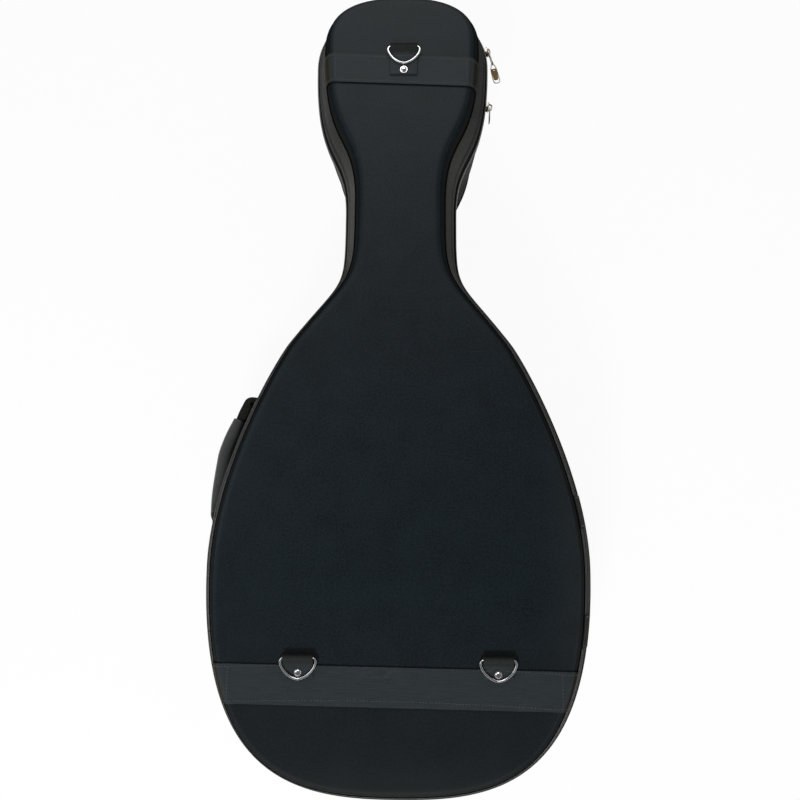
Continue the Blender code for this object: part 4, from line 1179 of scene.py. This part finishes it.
class CASE_OT_cloth_hinge(Operator):
    """Add the cloth that joins the halves, and the stitched patches over the ends of the zip"""

    bl_idname = "oud_case.cloth_hinge"
    bl_label = "Cloth Hinge"

    def wrapped(self, case, low, high, offset, thickness, bulge=0.0):
        """A closed section that runs from a height on the deep half to one on the lid, a step at a time."""
        rows = []
        for half, reach in ((case.base, low), (case.lid, high)):
            count = max(2, round(reach / 0.0016))
            spans = range(count, 0, -1) if half is case.base else range(1, count + 1)
            rows += [(half, reach * step / count, offset + bulge * (1 - (step / count) ** 2)) for step in spans]
        outer = [point for half, height, out in rows for point in half.placed([half.wall(height, -out - thickness)])]
        inner = [point for half, height, out in rows for point in half.placed([half.wall(height, -out)])]
        return [*outer, *reversed(inner)]

    def execute(self, context):
        case = Case(context.scene)
        trim, outline = case.trim, case.outline
        zip_z = case.shape.base_depth
        edge_x = case.shape.body_width / 2
        middle_y = outline.tail + case.shape.widest
        bodies = ("case_base", "lid")
        ends = [(edge_x, middle_y, zip_z + side * 0.007) for side in (-1, 1)]
        low, high = case.hinge_span(trim.hinge / 2 + trim.patch)
        bm = new_mesh()
        reach, under = trim.hem + 0.0004, -trim.cloth - 0.0002
        section = self.wrapped(case, reach, reach, under, trim.cloth + 0.0001, 0.0018)
        swept(bm, outline.stretch(low, high, trim.step), section)
        add_bending("hinge_cloth_strip", bm, side_cloth(case), "gusset_cloth", bodies, ends, ("hinge_cloth",))

        bare_low, bare_high = case.hinge_span(trim.hinge / 2)
        for place, start, end in (("upper", bare_high, high), ("lower", low, bare_low)):
            bm = new_mesh()
            section = self.wrapped(case, 0.024, 0.043, 0.0006, 0.0011)
            swept(bm, outline.stretch(start, end, 0.003), section)
            round_edges(bm, 0.0004, 2, 60)
            name = f"zip_end_patch_{place}"
            add_bending(f"{name}_webbing", bm, strap_webbing(case), "webbing", bodies, ends, (name,))
            near, far = start + 0.0028, end - 0.0028
            places = []
            for half, top in ((case.base, 0.0212), (case.lid, 0.0402)):
                stops = ((near, 0.001), (near, top), (far, top), (far, 0.001))
                places += case.wall_seam(half, stops, 0.0019)
            bend = (bodies, ends)
            add_stitching(case, f"{name}_stitching", places, bend=bend)
        return {"FINISHED"}


class CASE_OT_bands(Operator):
    """Add the webbing bands across the head and waist of the lid, with their stitches"""

    bl_idname = "oud_case.bands"
    bl_label = "Webbing Bands"

    def band(self, case, frames, name, band):
        from_tail, height, tilt, bow, reach = band
        slope = math.tan(math.radians(tilt))
        middle = case.outline.tail + from_tail

        def rise(x):
            """The band's middle line at x."""
            return middle + x * slope - bow * (x / reach) ** 2

        bm = new_mesh()
        outer = case.lid.face_path(-GAP - case.trim.band, 0.0008)
        inner = case.lid.face_path(-GAP, 0.0008)
        dish(bm, frames, case.lid.placed([*reversed(outer), *inner]))
        for vert in bm.verts:
            vert.co.y -= rise(vert.co.x)
        for side in (-1, 1):
            geometry = bm.verts[:] + bm.edges[:] + bm.faces[:]
            cut = {"plane_co": (0, side * height / 2, 0), "plane_no": (0, side, 0), "clear_outer": True}
            bmesh.ops.bisect_plane(bm, geom=geometry, dist=1e-6, **cut)
        open_edges = [edge for edge in bm.edges if edge.is_boundary]
        for face in bmesh.ops.holes_fill(bm, edges=open_edges, sides=0)["faces"]:
            # The edge faces take the near-black painted shade of the crease.
            face.material_index = 1
        for vert in bm.verts:
            vert.co.y += rise(vert.co.x)
        bmesh.ops.recalc_face_normals(bm, faces=bm.faces)
        surface = BVHTree.FromBMesh(bm)
        materials = (band_webbing(case), band_edge_shade(case))
        piece = add_riding(f"{name}_webbing", bm, materials, "lid", (name,))
        bevel = piece.modifiers.new("soft_edge", "BEVEL")
        bevel.width = 0.0004
        bevel.segments = 2
        bevel.limit_method = "ANGLE"
        bevel.angle_limit = math.radians(55)

        places = []
        for row in (-1, 1):
            offset = row * (height / 2 - 0.0030)
            places += self.row(case, surface, [(x, rise(x) + offset) for x in self.steps(reach)])
        ends = self.ends(surface, rise, reach)
        for x in ends:
            count = 24
            lows = [(x, rise(x) + (height - 0.008) * (step / count - 0.5)) for step in range(count + 1)]
            places += self.row(case, surface, lows)
        add_stitching(case, f"{name}_stitching", places, "lid")

    def steps(self, reach):
        return [reach * (step / 600 - 1) for step in range(1201)]

    def ends(self, surface, rise, reach):
        """Where the short rows of stitches go: a little in from where the band starts to turn down."""
        found = []
        for side in (-1, 1):
            xs = [side * reach * (1 - step / 400) for step in range(200)]
            level = [x for x in xs if self.drop(surface, x, rise(x)) and self.drop(surface, x, rise(x))[1].z > 0.97]
            found.append(level[0] - side * 0.003)
        return found

    def drop(self, surface, x, y):
        place, normal, _, _ = surface.ray_cast(Vector((x, y, 1)), -UP)
        return (place, normal) if place else None

    def row(self, case, surface, path):
        """Stitch places along a path seen from above, evenly spaced on the surface below it."""
        hits = [hit for hit in (self.drop(surface, x, y) for x, y in path) if hit]
        places = []
        travelled, due = 0.0, case.trim.stitch_pitch / 2
        for (place, normal), (ahead, _) in zip(hits, hits[1:]):
            step = (ahead - place).length
            if step > 0.008:
                continue
            while travelled + step > due:
                along = (ahead - place).normalized()
                spot = place.lerp(ahead, (due - travelled) / step) + normal * 0.0001
                out = (normal - along * normal.dot(along)).normalized()
                places.append(placed_axes(out, along, spot))
                due += case.trim.stitch_pitch
            travelled += step
        return places

    def execute(self, context):
        case = Case(context.scene)
        frames = case.outline.all_round(case.trim.step / 2)
        self.band(case, frames, "head_band", HEAD_BAND)
        self.band(case, frames, "waist_band", WAIST_BAND)
        return {"FINISHED"}


class CASE_OT_rings(Operator):
    """Add the D-rings, their webbing loops and their domed rivets"""

    bl_idname = "oud_case.rings"
    bl_label = "Rings"

    def loop_route(self, bar, floor, tail):
        """The middle of the loop's webbing: under the bar, round it and back down over itself."""
        ply, radius = 0.0010, 0.0033
        rise = bar.z - floor
        lower = [(-tail, ply / 2), (-tail * 0.6, ply / 2), (-0.003, ply / 2), (-0.001, ply / 2)]
        around = []
        for step in range(12):
            angle = math.radians(-90 + 20 * step)
            around.append((radius * math.cos(angle), rise + radius * math.sin(angle)))
        start = around[-1]
        stations = [start, (start[0] - 0.0016, start[1] - 0.0021), (-0.0066, 0.0021), (-0.0090, ply * 1.6)]
        stations = [Vector((0, *station)) for station in stations]
        down = smooth_route(stations, 5)[1:]
        over = [Vector((0, -tail * 0.8, ply * 1.5)), Vector((0, -tail, ply * 1.5))]
        local = [Vector((0, y, z)) for y, z in lower + around] + down + over
        return [Vector((bar.x, bar.y + point.y, floor + point.z)) for point in local]

    def ring_route(self, bar):
        """The middle of the D's wire, from one end of its bar round to the other."""
        wire = 0.0030 / 2
        half_width, corner = 0.040 / 2 - wire, 0.0040
        drop = 0.024 - 0.0030 - corner
        points = arc((half_width - corner, -corner), (corner, corner), 90, 0, 8)
        points += arc((0, -corner), (half_width, drop), 0, -180, 48, 1.22)[1:]
        points += arc((corner - half_width, -corner), (corner, corner), 180, 90, 8)[1:]
        bars = [points[-1].lerp(points[0], share / 6) for share in range(1, 6)]
        return [bar + point for point in points + bars]

    def rivet(self, center):
        size = 0.0043
        profile = [(0, 0.50), (0.20, 0.49), (0.42, 0.44), (0.62, 0.35), (0.77, 0.23), (0.85, 0.13), (0.90, 0.12)]
        profile += [(0.98, 0.12), (1.03, 0.06), (1.02, -0.04), (0.42, -0.06), (0.42, -1.6), (0, -1.6)]
        bm = bmesh.new()
        verts = [bm.verts.new(center + Vector((x * size, 0, z * size))) for x, z in profile]
        edges = [bm.edges.new(pair) for pair in zip(verts, verts[1:])]
        spun = {"cent": center, "axis": UP, "angle": math.tau, "steps": 36, "use_merge": True}
        bmesh.ops.spin(bm, geom=verts + edges, **spun)
        bmesh.ops.remove_doubles(bm, verts=bm.verts, dist=1e-6)
        return bm

    def execute(self, context):
        case = Case(context.scene)
        floor = case.band_top + GAP
        for place, drop in RIVET_DROPS.items():
            bar = Vector(JOINTS[f"{place}_ring_swing"]["pos_m"])
            tail = drop + 0.0052
            bm = new_mesh()
            route = frames_along(self.ring_route(bar), UP, True)
            swept(bm, route, circle_section(case.trim.wire / 2, 16), True)
            add_riding(f"{place}_ring_wire", bm, bright_metal(case), f"{place}_ring", (f"{place}_d_ring",))

            bm = new_mesh()
            route = frames_along(self.loop_route(bar, floor, tail), Vector((1, 0, 0)))
            swept(bm, route, flat_section(0.032, 0.00098))
            name = f"{place}_webbing_loop"
            add_riding(f"{place}_loop_strap", bm, loop_webbing(case), "lid", (name,), 60.0)

            center = Vector((bar.x, bar.y - drop, floor + 0.0020 + GAP))
            bm = self.rivet(center)
            add_riding(f"{place}_domed_rivet", bm, bright_metal(case), "lid", (f"{place}_rivet",))

            places = []
            count = round(0.0275 / case.trim.stitch_pitch)
            for y in (bar.y - 0.0108, bar.y - tail + 0.0022):
                for step in range(count):
                    x = bar.x + 0.0275 * ((step + 0.5) / count - 0.5)
                    if y < bar.y - 0.02 or abs(x - center.x) > 0.006 or abs(y - center.y) > 0.005:
                        places.append(placed_axes(UP, Vector((1, 0, 0)), Vector((x, y, floor + 0.0021))))
            add_stitching(case, f"{place}_loop_stitching", places, "lid")
        return {"FINISHED"}


class CASE_OT_handle(Operator):
    """Add the padded grip, its webbing straps and the patches that they are sewn under"""

    bl_idname = "oud_case.handle"
    bl_label = "Handle"

    def frames(self, case, stations, steps):
        """Frames through the stations, scaled to their thickness and width."""
        points, sizes = [], []
        height = case.shape.base_depth - case.trim.handle_drop
        for from_tail, out, width, thickness in stations:
            points.append(case.outline.beside(from_tail, out, -1) + UP * height)
            sizes.append(Vector((thickness, width, width)))
        route = frames_along(smooth_route(points, steps), UP)
        return [place @ Matrix.Diagonal(size).to_4x4() for place, size in zip(route, smooth_route(sizes, steps))]

    def grip(self, case):
        frames = self.frames(case, GRIP_STATIONS, 9)
        for step, angle in enumerate((34, 27, 19, 12, 6, 2)):
            frames[-1 - step] = frames[-1 - step] @ Matrix.Rotation(math.radians(angle), 4, "X")
        bm = new_mesh()
        swept(bm, frames, oval_section(32, 0.72))
        bmesh.ops.recalc_face_normals(bm, faces=bm.faces)
        for cap in [face for face in bm.faces if len(face.verts) > 4]:
            inward = -cap.normal
            bmesh.ops.inset_region(bm, faces=[cap], thickness=0.0016, use_even_offset=True)
            hollow = bmesh.ops.extrude_discrete_faces(bm, faces=[cap])["faces"][0]
            bmesh.ops.translate(bm, verts=hollow.verts, vec=inward * 0.007)
            hollow.material_index = 1
            for edge in hollow.edges:
                for face in edge.link_faces:
                    face.material_index = 1
        materials = (leatherette(case), grip_inside(case))
        grip = add_riding("handle_grip_wrap", bm, materials, "handle", ("handle_grip",), 50.0)

        places = []
        for before, here, after in zip(frames[2:-2], frames[3:-1], frames[4:]):
            along = (after.translation - before.translation).normalized()
            for side in (-1, 1):
                spot = here @ Vector((-0.465, 0, side * 0.10))
                out = -(here.col[0].to_3d().normalized())
                places.append(placed_axes(out, (along - out * along.dot(out)).normalized(), spot))
        add_stitching(case, "handle_grip_stitching", places, "handle")

    def anchor(self, case, place):
        low, high = ANCHOR_SPANS[place]
        span = [case.outline.distance_at(height, -1) for height in (high, low)]
        near, far = ANCHOR_HEIGHTS
        section = case.base.placed(
            [
                case.base.wall(near + 0.0015, -ANCHOR_OUT),
                case.base.wall(near, -ANCHOR_OUT + 0.0015),
                case.base.wall(near, -0.0004),
                case.base.wall(far, -0.0004),
                case.base.wall(far, -ANCHOR_OUT + 0.0015),
                case.base.wall(far - 0.0015, -ANCHOR_OUT),
                case.base.wall((near + far) / 2, -ANCHOR_OUT - 0.0003),
            ]
        )
        bm = new_mesh()
        swept(bm, case.outline.stretch(*span, 0.003), section)
        round_edges(bm, 0.0009, 3, 50)
        name = f"handle_anchor_{place}"
        add_riding(f"{name}_patch", bm, strap_webbing(case), "case_base", (name,))
        left, right = span[0] + 0.0035, span[1] - 0.0035
        top, bottom = near + 0.0045, far - 0.0045
        box = ((left, top), (right, top), (right, bottom), (left, bottom), (left, top))
        places = case.wall_seam(case.base, box, ANCHOR_OUT + 0.0002)
        places += case.wall_seam(case.base, ((left, top), (right, bottom)), ANCHOR_OUT + 0.0003)
        places += case.wall_seam(case.base, ((left, bottom), (right, top)), ANCHOR_OUT + 0.0003)
        add_stitching(case, f"{name}_stitching", places, "case_base")

    def strap(self, case, place, stations, ends):
        bm = new_mesh()
        swept(bm, self.frames(case, stations, 6), oval_section(24, 0.6))
        name = f"handle_strap_{place}"
        bodies = ("case_base", "handle")
        add_bending(f"{name}_webbing", bm, strap_webbing(case), "webbing", bodies, ends, (name,))

    def execute(self, context):
        case = Case(context.scene)
        height = UP * (case.shape.base_depth - case.trim.handle_drop)
        self.grip(case)
        for place, stations, still, moving in (
            ("upper", UPPER_STRAP_STATIONS, 0.4449, 0.4180),
            ("lower", LOWER_STRAP_STATIONS, 0.2822, 0.3010),
        ):
            ends = [case.outline.beside(from_tail, 0.004, -1) + height for from_tail in (still, moving)]
            self.strap(case, place, stations, ends)
            self.anchor(case, place)
        return {"FINISHED"}


class CASE_OT_end_loop(Operator):
    """Add the webbing loop on the head end"""

    bl_idname = "oud_case.end_loop"
    bl_label = "End Loop"

    def execute(self, context):
        case = Case(context.scene)
        outline = case.outline
        height = case.shape.base_depth - case.trim.grab_drop
        middle = outline.total / 2
        points = []
        for x, out in GRAB_STATIONS:
            near = min(outline.walk(middle - 0.2, middle, 0.0005), key=lambda d: abs(outline.frame(d).translation.x + x))
            points.append(outline.frame(near) @ Vector((out, 0, 0)))
        points[-1].x = 0
        stations = [*points, *[point * MIRROR_X for point in reversed(points[:-1])]]
        route = [point + UP * height for point in smooth_route(stations, 8)]
        bm = new_mesh()
        swept(bm, frames_along(route, UP), flat_section(0.025, 0.0024))
        round_edges(bm, 0.0004, 2, 60)
        loop = ("head_grab_loop",)
        add_riding("head_end_loop_webbing", bm, strap_webbing(case), "case_base", loop)
        places = []
        for side in (-1, 1):
            near, far = middle + side * 0.0395, middle + side * 0.0560
            low, high = case.trim.grab_drop - 0.0095, case.trim.grab_drop + 0.0095
            box = ((near, low), (far, low), (far, high), (near, high), (near, low), (far, high))
            places += case.wall_seam(case.base, box, 0.0042)
            places += case.wall_seam(case.base, ((near, high), (far, low)), 0.0043)
        add_stitching(case, "head_end_loop_stitching", places, "case_base")
        return {"FINISHED"}


class CASE_OT_sliders(Operator):
    """Add the two zip sliders with their links, pulls and plates"""

    bl_idname = "oud_case.sliders"
    bl_label = "Zip Sliders"

    def slider_frame(self, name):
        joint = JOINTS[f"{name}_slide"]
        along = Vector(joint["axis"]).normalized()
        return placed_axes(along.cross(UP), along, Vector(joint["pos_m"]))

    def slab(self, outline, near, far):
        """A plate from a (y, z) outline, between two distances out."""
        bm = bmesh.new()
        face = bm.faces.new([bm.verts.new((near, y, z)) for y, z in outline])
        grown = bmesh.ops.extrude_face_region(bm, geom=[face])["geom"]
        moved = [item for item in grown if isinstance(item, bmesh.types.BMVert)]
        bmesh.ops.translate(bm, verts=moved, vec=(far - near, 0, 0))
        bmesh.ops.recalc_face_normals(bm, faces=bm.faces)
        return bm

    def merge(self, bm, part, place=Matrix.Identity(4)):
        bmesh.ops.transform(part, matrix=place, verts=part.verts)
        bm.from_mesh(loose_mesh("part", part))

    def body(self, case, name, bridge_height):
        place = self.slider_frame(name)
        shield = [(5.5, 2.6), (4.6, 3.9), (3.2, 4.4), (-0.4, 4.3), (-4.4, 3.5), (-5.4, 2.6)]
        outline = [(y / 1000, z / 1000) for y, z in shield]
        outline += [(y, -z) for y, z in reversed(outline)]
        bm = new_mesh()
        plate = self.slab(outline, 0.0028, 0.0044)
        round_edges(plate, 0.0005, 3, 60)
        self.merge(bm, plate, place)
        for side in (-1, 1):
            lip = self.slab([(4.2e-3, 3.5e-3), (4.2e-3, 4.3e-3), (-3.9e-3, 4.3e-3), (-3.9e-3, 3.5e-3)], 0.0009, 0.0034)
            round_edges(lip, 0.0003, 2, 60)
            self.merge(bm, lip, place @ Matrix.Diagonal((1, 1, side, 1)))
        foot, top = 0.0036, 0.0043 + bridge_height - 0.0006
        stations = [(0.0036, -foot), (top - 0.0018, -foot), (top - 0.0003, -foot + 0.0013), (top, 0)]
        stations = [Vector((x, y, 0)) for x, y in stations]
        stations += [Vector((point.x, -point.y, 0)) for point in reversed(stations[:-1])]
        route = [place @ point for point in smooth_route(stations, 5)]
        swept(bm, frames_along(route, UP), flat_section(0.0030, 0.0012))
        for end, width in ((4.0, 0.0022), (-4.4, 0.0018)):
            ridge = self.slab([(end / 1000 + y / 1000, z * width) for y, z in ((-0.45, -1), (0.45, -1), (0.45, 1), (-0.45, 1))], 0.0040, 0.0050)
            round_edges(ridge, 0.0003, 2, 60)
            self.merge(bm, ridge, place)
        add_riding(f"{name}_housing", bm, dark_nickel(case), name, (f"{name}_body",))

    def ring(self, bm, place, points, radius, flatten=1.0):
        """A closed wire through level points about a place."""
        route = frames_along([place @ point for point in points], place.col[2].to_3d(), True)
        section = [Vector((point.x, 0, point.z * flatten)) for point in circle_section(radius, 12)]
        swept(bm, route, section, True)

    def rectangle(self, width, length_, corner):
        half = width / 2
        points = arc((half - corner, -corner), (corner, corner), 90, 0, 6)
        points += arc((half - corner, corner - length_), (corner, corner), 0, -90, 6)
        points += arc((corner - half, corner - length_), (corner, corner), -90, -180, 6)
        return points + arc((corner - half, -corner), (corner, corner), 180, 90, 6)

    def plate(self, case, name, place, top, width, length_, body):
        """A flat brown plate, with a rivet eye at the top and two small holes at the foot."""
        half = width / 2
        outline = [(-half, 0.0), (half, 0.0), (half * 0.90, -length_ * 0.5), (half * 0.78, -length_ + half * 0.4)]
        outline += [(half * 0.5, -length_), (-half * 0.5, -length_), (-half * 0.78, -length_ + half * 0.4)]
        outline += [(-half * 0.90, -length_ * 0.5)]
        bm = bmesh.new()
        rings = [[Vector((x, top + y, 0)) for x, y in outline]]
        for x in (-0.0013, 0.0013):
            rings.append(arc((x, top - length_ + 0.0022), (0.00042, 0.00042), 0, 330, 11))
        edges = []
        for points in rings:
            verts = [bm.verts.new(point) for point in points]
            edges += [bm.edges.new(pair) for pair in zip(verts, verts[1:] + verts[:1])]
        bmesh.ops.triangle_fill(bm, edges=edges, use_beauty=True)
        bmesh.ops.dissolve_limit(bm, angle_limit=0.01, verts=bm.verts, edges=bm.edges)
        grown = bmesh.ops.extrude_face_region(bm, geom=bm.faces[:])["geom"]
        moved = [item for item in grown if isinstance(item, bmesh.types.BMVert)]
        bmesh.ops.translate(bm, verts=moved, vec=(0, 0, 0.0012))
        bmesh.ops.translate(bm, verts=bm.verts, vec=(0, 0, -0.0006))
        bmesh.ops.recalc_face_normals(bm, faces=bm.faces)
        round_edges(bm, 0.00022, 2, 60)
        center = Vector((0, top - 0.0030, 0))
        for side in (-1, 1):
            cap = bmesh.new()
            bmesh.ops.create_uvsphere(cap, u_segments=20, v_segments=10, radius=0.5)
            bmesh.ops.scale(cap, vec=(0.0026, 0.0026, 0.0009), verts=cap.verts)
            bmesh.ops.translate(cap, verts=cap.verts, vec=center + UP * side * 0.0006)
            for face in cap.faces:
                face.material_index = 1
            bm.from_mesh(loose_mesh("cap", cap))
        bmesh.ops.transform(bm, matrix=place, verts=bm.verts)
        materials = (plate_brown(case), dark_nickel(case))
        add_riding(f"{name}_brown", bm, materials, body, (name,))

    def execute(self, context):
        case = Case(context.scene)
        self.body(case, "slider_a", 0.0036)
        self.body(case, "slider_b", 0.0046)
        upright = Matrix.Rotation(math.radians(90), 4, "Y")
        wire = 0.0007

        pin = Vector(JOINTS["slider_a_link_swing"]["pos_m"])
        eye = Vector(JOINTS["slider_a_pull_swing"]["pos_m"])
        along = (pin - eye).normalized()
        place = placed_axes(along.cross(UP), along, pin)
        bm = new_mesh()
        self.ring(bm, place @ upright, self.rectangle(0.0052, (pin - eye).length, 0.0020), wire)
        add_riding("slider_a_link_wire", bm, dark_nickel(case), "slider_a_link", ("slider_a_link",))

        place = Matrix.Translation(eye) @ Matrix.Rotation(math.radians(13), 4, "Z")
        half, reach = 0.0046 - wire, 0.026 - wire
        stations = [(0, 0.0016), (0.0013, 0.0011), (0.0021, -0.0016), (half * 0.86, -0.0052), (half * 0.97, -0.011)]
        stations += [(half, -reach + 0.0040), (half * 0.72, -reach + 0.0007), (0, -reach)]
        stations = [Vector((x, y, 0)) for x, y in stations]
        closed = stations + [point * MIRROR_X for point in reversed(stations[1:-1])]
        route = smooth_route([*closed, closed[0]], 6)[:-1]
        bm = new_mesh()
        self.ring(bm, place, route, wire, 1.4)
        bar = [place @ Vector((x, -0.0075, 0)) for x in (-0.0035, 0.0, 0.0035)]
        swept(bm, frames_along(bar, UP), circle_section(0.0006, 10))
        add_riding("slider_a_pull_frame", bm, dark_nickel(case), "slider_a_pull", ("slider_a_pull",))
        laid = place @ Matrix.Translation((-0.0005, 0, 0.0013))
        self.plate(case, "slider_a_pull_plate", laid, -0.0066, 0.0074, 0.0154, "slider_a_pull")

        pin = Vector(JOINTS["slider_b_pull_swing"]["pos_m"])
        axis = self.slider_frame("slider_b")
        angle = math.atan2(axis.col[0].y, axis.col[0].x) + math.radians(3)
        place = Matrix.Translation(pin) @ Matrix.Rotation(angle, 4, "Z") @ upright
        bm = new_mesh()
        self.ring(bm, place, self.rectangle(0.0078, 0.0191, 0.0020), wire)
        add_riding("slider_b_pull_frame", bm, dark_nickel(case), "slider_b_pull", ("slider_b_pull",))
        self.plate(case, "slider_b_pull_plate", place, -0.0050, 0.0058, 0.0102, "slider_b_pull")
        return {"FINISHED"}


class CASE_OT_neck_rest(Operator):
    """Add the padded rest that the neck lies on"""

    bl_idname = "oud_case.neck_rest"
    bl_label = "Neck Rest"

    def execute(self, context):
        case = Case(context.scene)
        shape, half = case.shape, case.base
        top, floor = shape.base_depth - 0.0120, shape.base_depth - half.depth + 0.0206
        radius, notch_floor = 0.025, top - 0.045
        middle = shape.length / 2 - 0.2685
        notch = arc((0, 0), (radius, radius), 0, -180, 14)
        path = [Vector((radius, 0, top))]
        path += [Vector((point.x, 0, notch_floor + radius + point.y)) for point in notch]
        path += [Vector((-radius, 0, top)), Vector((-0.04, 0, top))]
        path += [Vector((-0.04, 0, top + (floor - top) * share / 6)) for share in range(1, 7)]
        path += [Vector((0.04, 0, floor + (top - floor) * share / 6)) for share in range(0, 7)]
        ys = [middle + 0.0245 * (step / 5 - 1) for step in range(11)]
        bm = new_mesh()
        swept(bm, frames_along([Vector((0, y, 0)) for y in ys], UP), path)
        for vert in bm.verts:
            if abs(vert.co.x) > 0.03:
                inset, _ = half.wall(shape.base_depth - vert.co.z, case.trim.foam)
                edge = case.outline.beside(vert.co.y - case.outline.tail, 0, 1).x
                corner = max(0.0, floor + 0.014 - vert.co.z)
                round_off = 0.014 - math.sqrt(max(0.0, 0.014**2 - corner**2))
                vert.co.x = math.copysign(edge - inset - 0.0004 - round_off, vert.co.x)
        bmesh.ops.recalc_face_normals(bm, faces=bm.faces)
        round_edges(bm, 0.0042, 4, 42)
        rest = add_riding("neck_rest_pad", bm, plush(case), "case_base", ("neck_cradle",), 60.0)
        return {"FINISHED"}


class CASE_OT_stage(Operator):
    """Add the floor, the soft lamps and the camera"""

    bl_idname = "oud_case.stage"
    bl_label = "Stage"

    def ray_kinds(self, nodes):
        """1 where the camera sees the surface, and 1 where a bright surface or glass does."""
        rays = nodes.add("ShaderNodeLightPath").outputs
        return rays["Is Camera Ray"], nodes.math("MAXIMUM", rays["Is Glossy Ray"], rays["Is Transmission Ray"])

    def add_floor(self, studio):
        bm = bmesh.new()
        bmesh.ops.create_grid(bm, x_segments=2, y_segments=2, size=7.0)
        floor = bpy.data.objects.new("floor", loose_mesh("floor", bm))
        bpy.context.scene.collection.objects.link(floor)
        material = bpy.data.materials.new("floor_white")
        material.use_nodes = True
        nodes = Nodes(material.node_tree)
        shader = material.node_tree.nodes["Principled BSDF"]
        output = material.node_tree.nodes["Material Output"]
        shader.inputs["Base Color"].default_value = (studio.floor, studio.floor, studio.floor, 1)
        shader.inputs["Roughness"].default_value = 1.0
        shader.inputs["Specular IOR Level"].default_value = 0.0
        glow = nodes.add("ShaderNodeEmission", {"Color": (1, 1, 1, 1), "Strength": 1.0}).outputs[0]
        share = nodes.math("MULTIPLY", nodes.math("MAXIMUM", *self.ray_kinds(nodes)), studio.floor_glow)
        mixed = nodes.add("ShaderNodeMixShader", {0: share, 1: shader.outputs[0], 2: glow}).outputs[0]
        nodes.feed(output.inputs["Surface"], mixed)
        floor.data.materials.append(material)

    def add_sky(self, scene, studio):
        world = bpy.data.worlds.new("studio_sky")
        world.use_nodes = True
        scene.world = world
        nodes = Nodes(world.node_tree)
        background = world.node_tree.nodes["Background"]
        background.inputs["Color"].default_value = (1, 1, 1, 1)
        direction = nodes.add("ShaderNodeTexCoord").outputs["Generated"]
        height = nodes.add("ShaderNodeSeparateXYZ", {0: direction}).outputs[2]
        mirrored = nodes.span(height, 0.02, 0.58, 1.0, studio.ceiling, True)
        seen, bounced = self.ray_kinds(nodes)
        level = nodes.span(bounced, 0.0, 1.0, studio.sky, mirrored)
        nodes.feed(background.inputs["Strength"], nodes.span(seen, 0.0, 1.0, level, 1.0))

    def add_lamp(self, name, place, target, size, power, card=False):
        lamp = bpy.data.lights.new(name, "AREA")
        lamp.shape = "RECTANGLE"
        lamp.size, lamp.size_y = size
        lamp.energy = power
        made = bpy.data.objects.new(name, lamp)
        towards = Vector(place) - Vector(target)
        made.matrix_world = Matrix.Translation(place) @ towards.to_track_quat("Z", "Y").to_matrix().to_4x4()
        made.visible_camera = False
        made.visible_diffuse = not card
        made.visible_glossy = card
        bpy.context.scene.collection.objects.link(made)

    def add_camera(self, scene, studio):
        pitch, yaw, roll = studio.pitch, studio.yaw, studio.roll
        ahead = Vector((math.sin(yaw), math.sin(pitch) * math.cos(yaw), -math.cos(pitch) * math.cos(yaw)))
        right = ahead.cross(Vector((0, math.cos(pitch), math.sin(pitch)))).normalized()
        up = right.cross(ahead)
        right, up = right * math.cos(roll) + up * math.sin(roll), up * math.cos(roll) - right * math.sin(roll)
        data = bpy.data.cameras.new("camera")
        data.lens = studio.lens
        data.sensor_width = 36.0
        data.shift_x = -0.00125
        data.clip_start = 0.01
        data.clip_end = 50.0
        camera = bpy.data.objects.new("camera", data)
        camera.matrix_world = Matrix((right, up, -ahead)).transposed().to_4x4()
        camera.matrix_world.translation = studio.camera
        scene.collection.objects.link(camera)
        scene.camera = camera

    def execute(self, context):
        scene = context.scene
        studio = scene.case_studio
        scene.view_settings.view_transform = "Standard"
        self.add_camera(scene, studio)
        self.add_floor(studio)
        self.add_sky(scene, studio)
        self.add_lamp("key_lamp", (-0.30, -1.36, 1.55), (0, 0, 0.2), (0.28, 0.28), studio.key_lamp)
        self.add_lamp("head_card", (-0.15, 1.45, 1.5), (0, 0.3, 0.2), (1.6, 1.0), studio.head_card, True)
        self.add_lamp("grip_card", (-0.62, -0.03, 0.62), (-0.19, -0.02, 0.14), (0.45, 0.5), studio.grip_card, True)
        return {"FINISHED"}


PIECES = (
    CASE_OT_stage,
    CASE_OT_face_panels,
    CASE_OT_sides,
    CASE_OT_zip,
    CASE_OT_linings,
    CASE_OT_cloth_hinge,
    CASE_OT_bands,
    CASE_OT_rings,
    CASE_OT_handle,
    CASE_OT_end_loop,
    CASE_OT_sliders,
    CASE_OT_neck_rest,
)
SETTINGS = {"case_shape": CaseShape, "case_trim": CaseTrim, "case_colours": CaseColours, "case_studio": Studio}


class CASE_PT_build(Panel):
    """Buttons and settings for the oud case"""

    bl_idname = "CASE_PT_build"
    bl_label = "Oud Case"
    bl_space_type = "VIEW_3D"
    bl_region_type = "UI"
    bl_category = "Oud Case"

    def draw(self, context):
        for piece in PIECES:
            self.layout.operator(piece.bl_idname)
        for name, group in SETTINGS.items():
            box = self.layout.box()
            for setting in group.__annotations__:
                box.prop(getattr(context.scene, name), setting)


def register():
    for made in (*SETTINGS.values(), *PIECES, CASE_PT_build):
        bpy.utils.register_class(made)
    for name, group in SETTINGS.items():
        setattr(bpy.types.Scene, name, PointerProperty(type=group))


def unregister():
    for name in SETTINGS:
        delattr(bpy.types.Scene, name)
    for made in (CASE_PT_build, *reversed(PIECES), *reversed(SETTINGS.values())):
        bpy.utils.unregister_class(made)


def main():
    register()
    for piece in PIECES:
        getattr(bpy.ops.oud_case, piece.bl_idname.split(".")[1])()


if __name__ == "__main__":
    main()
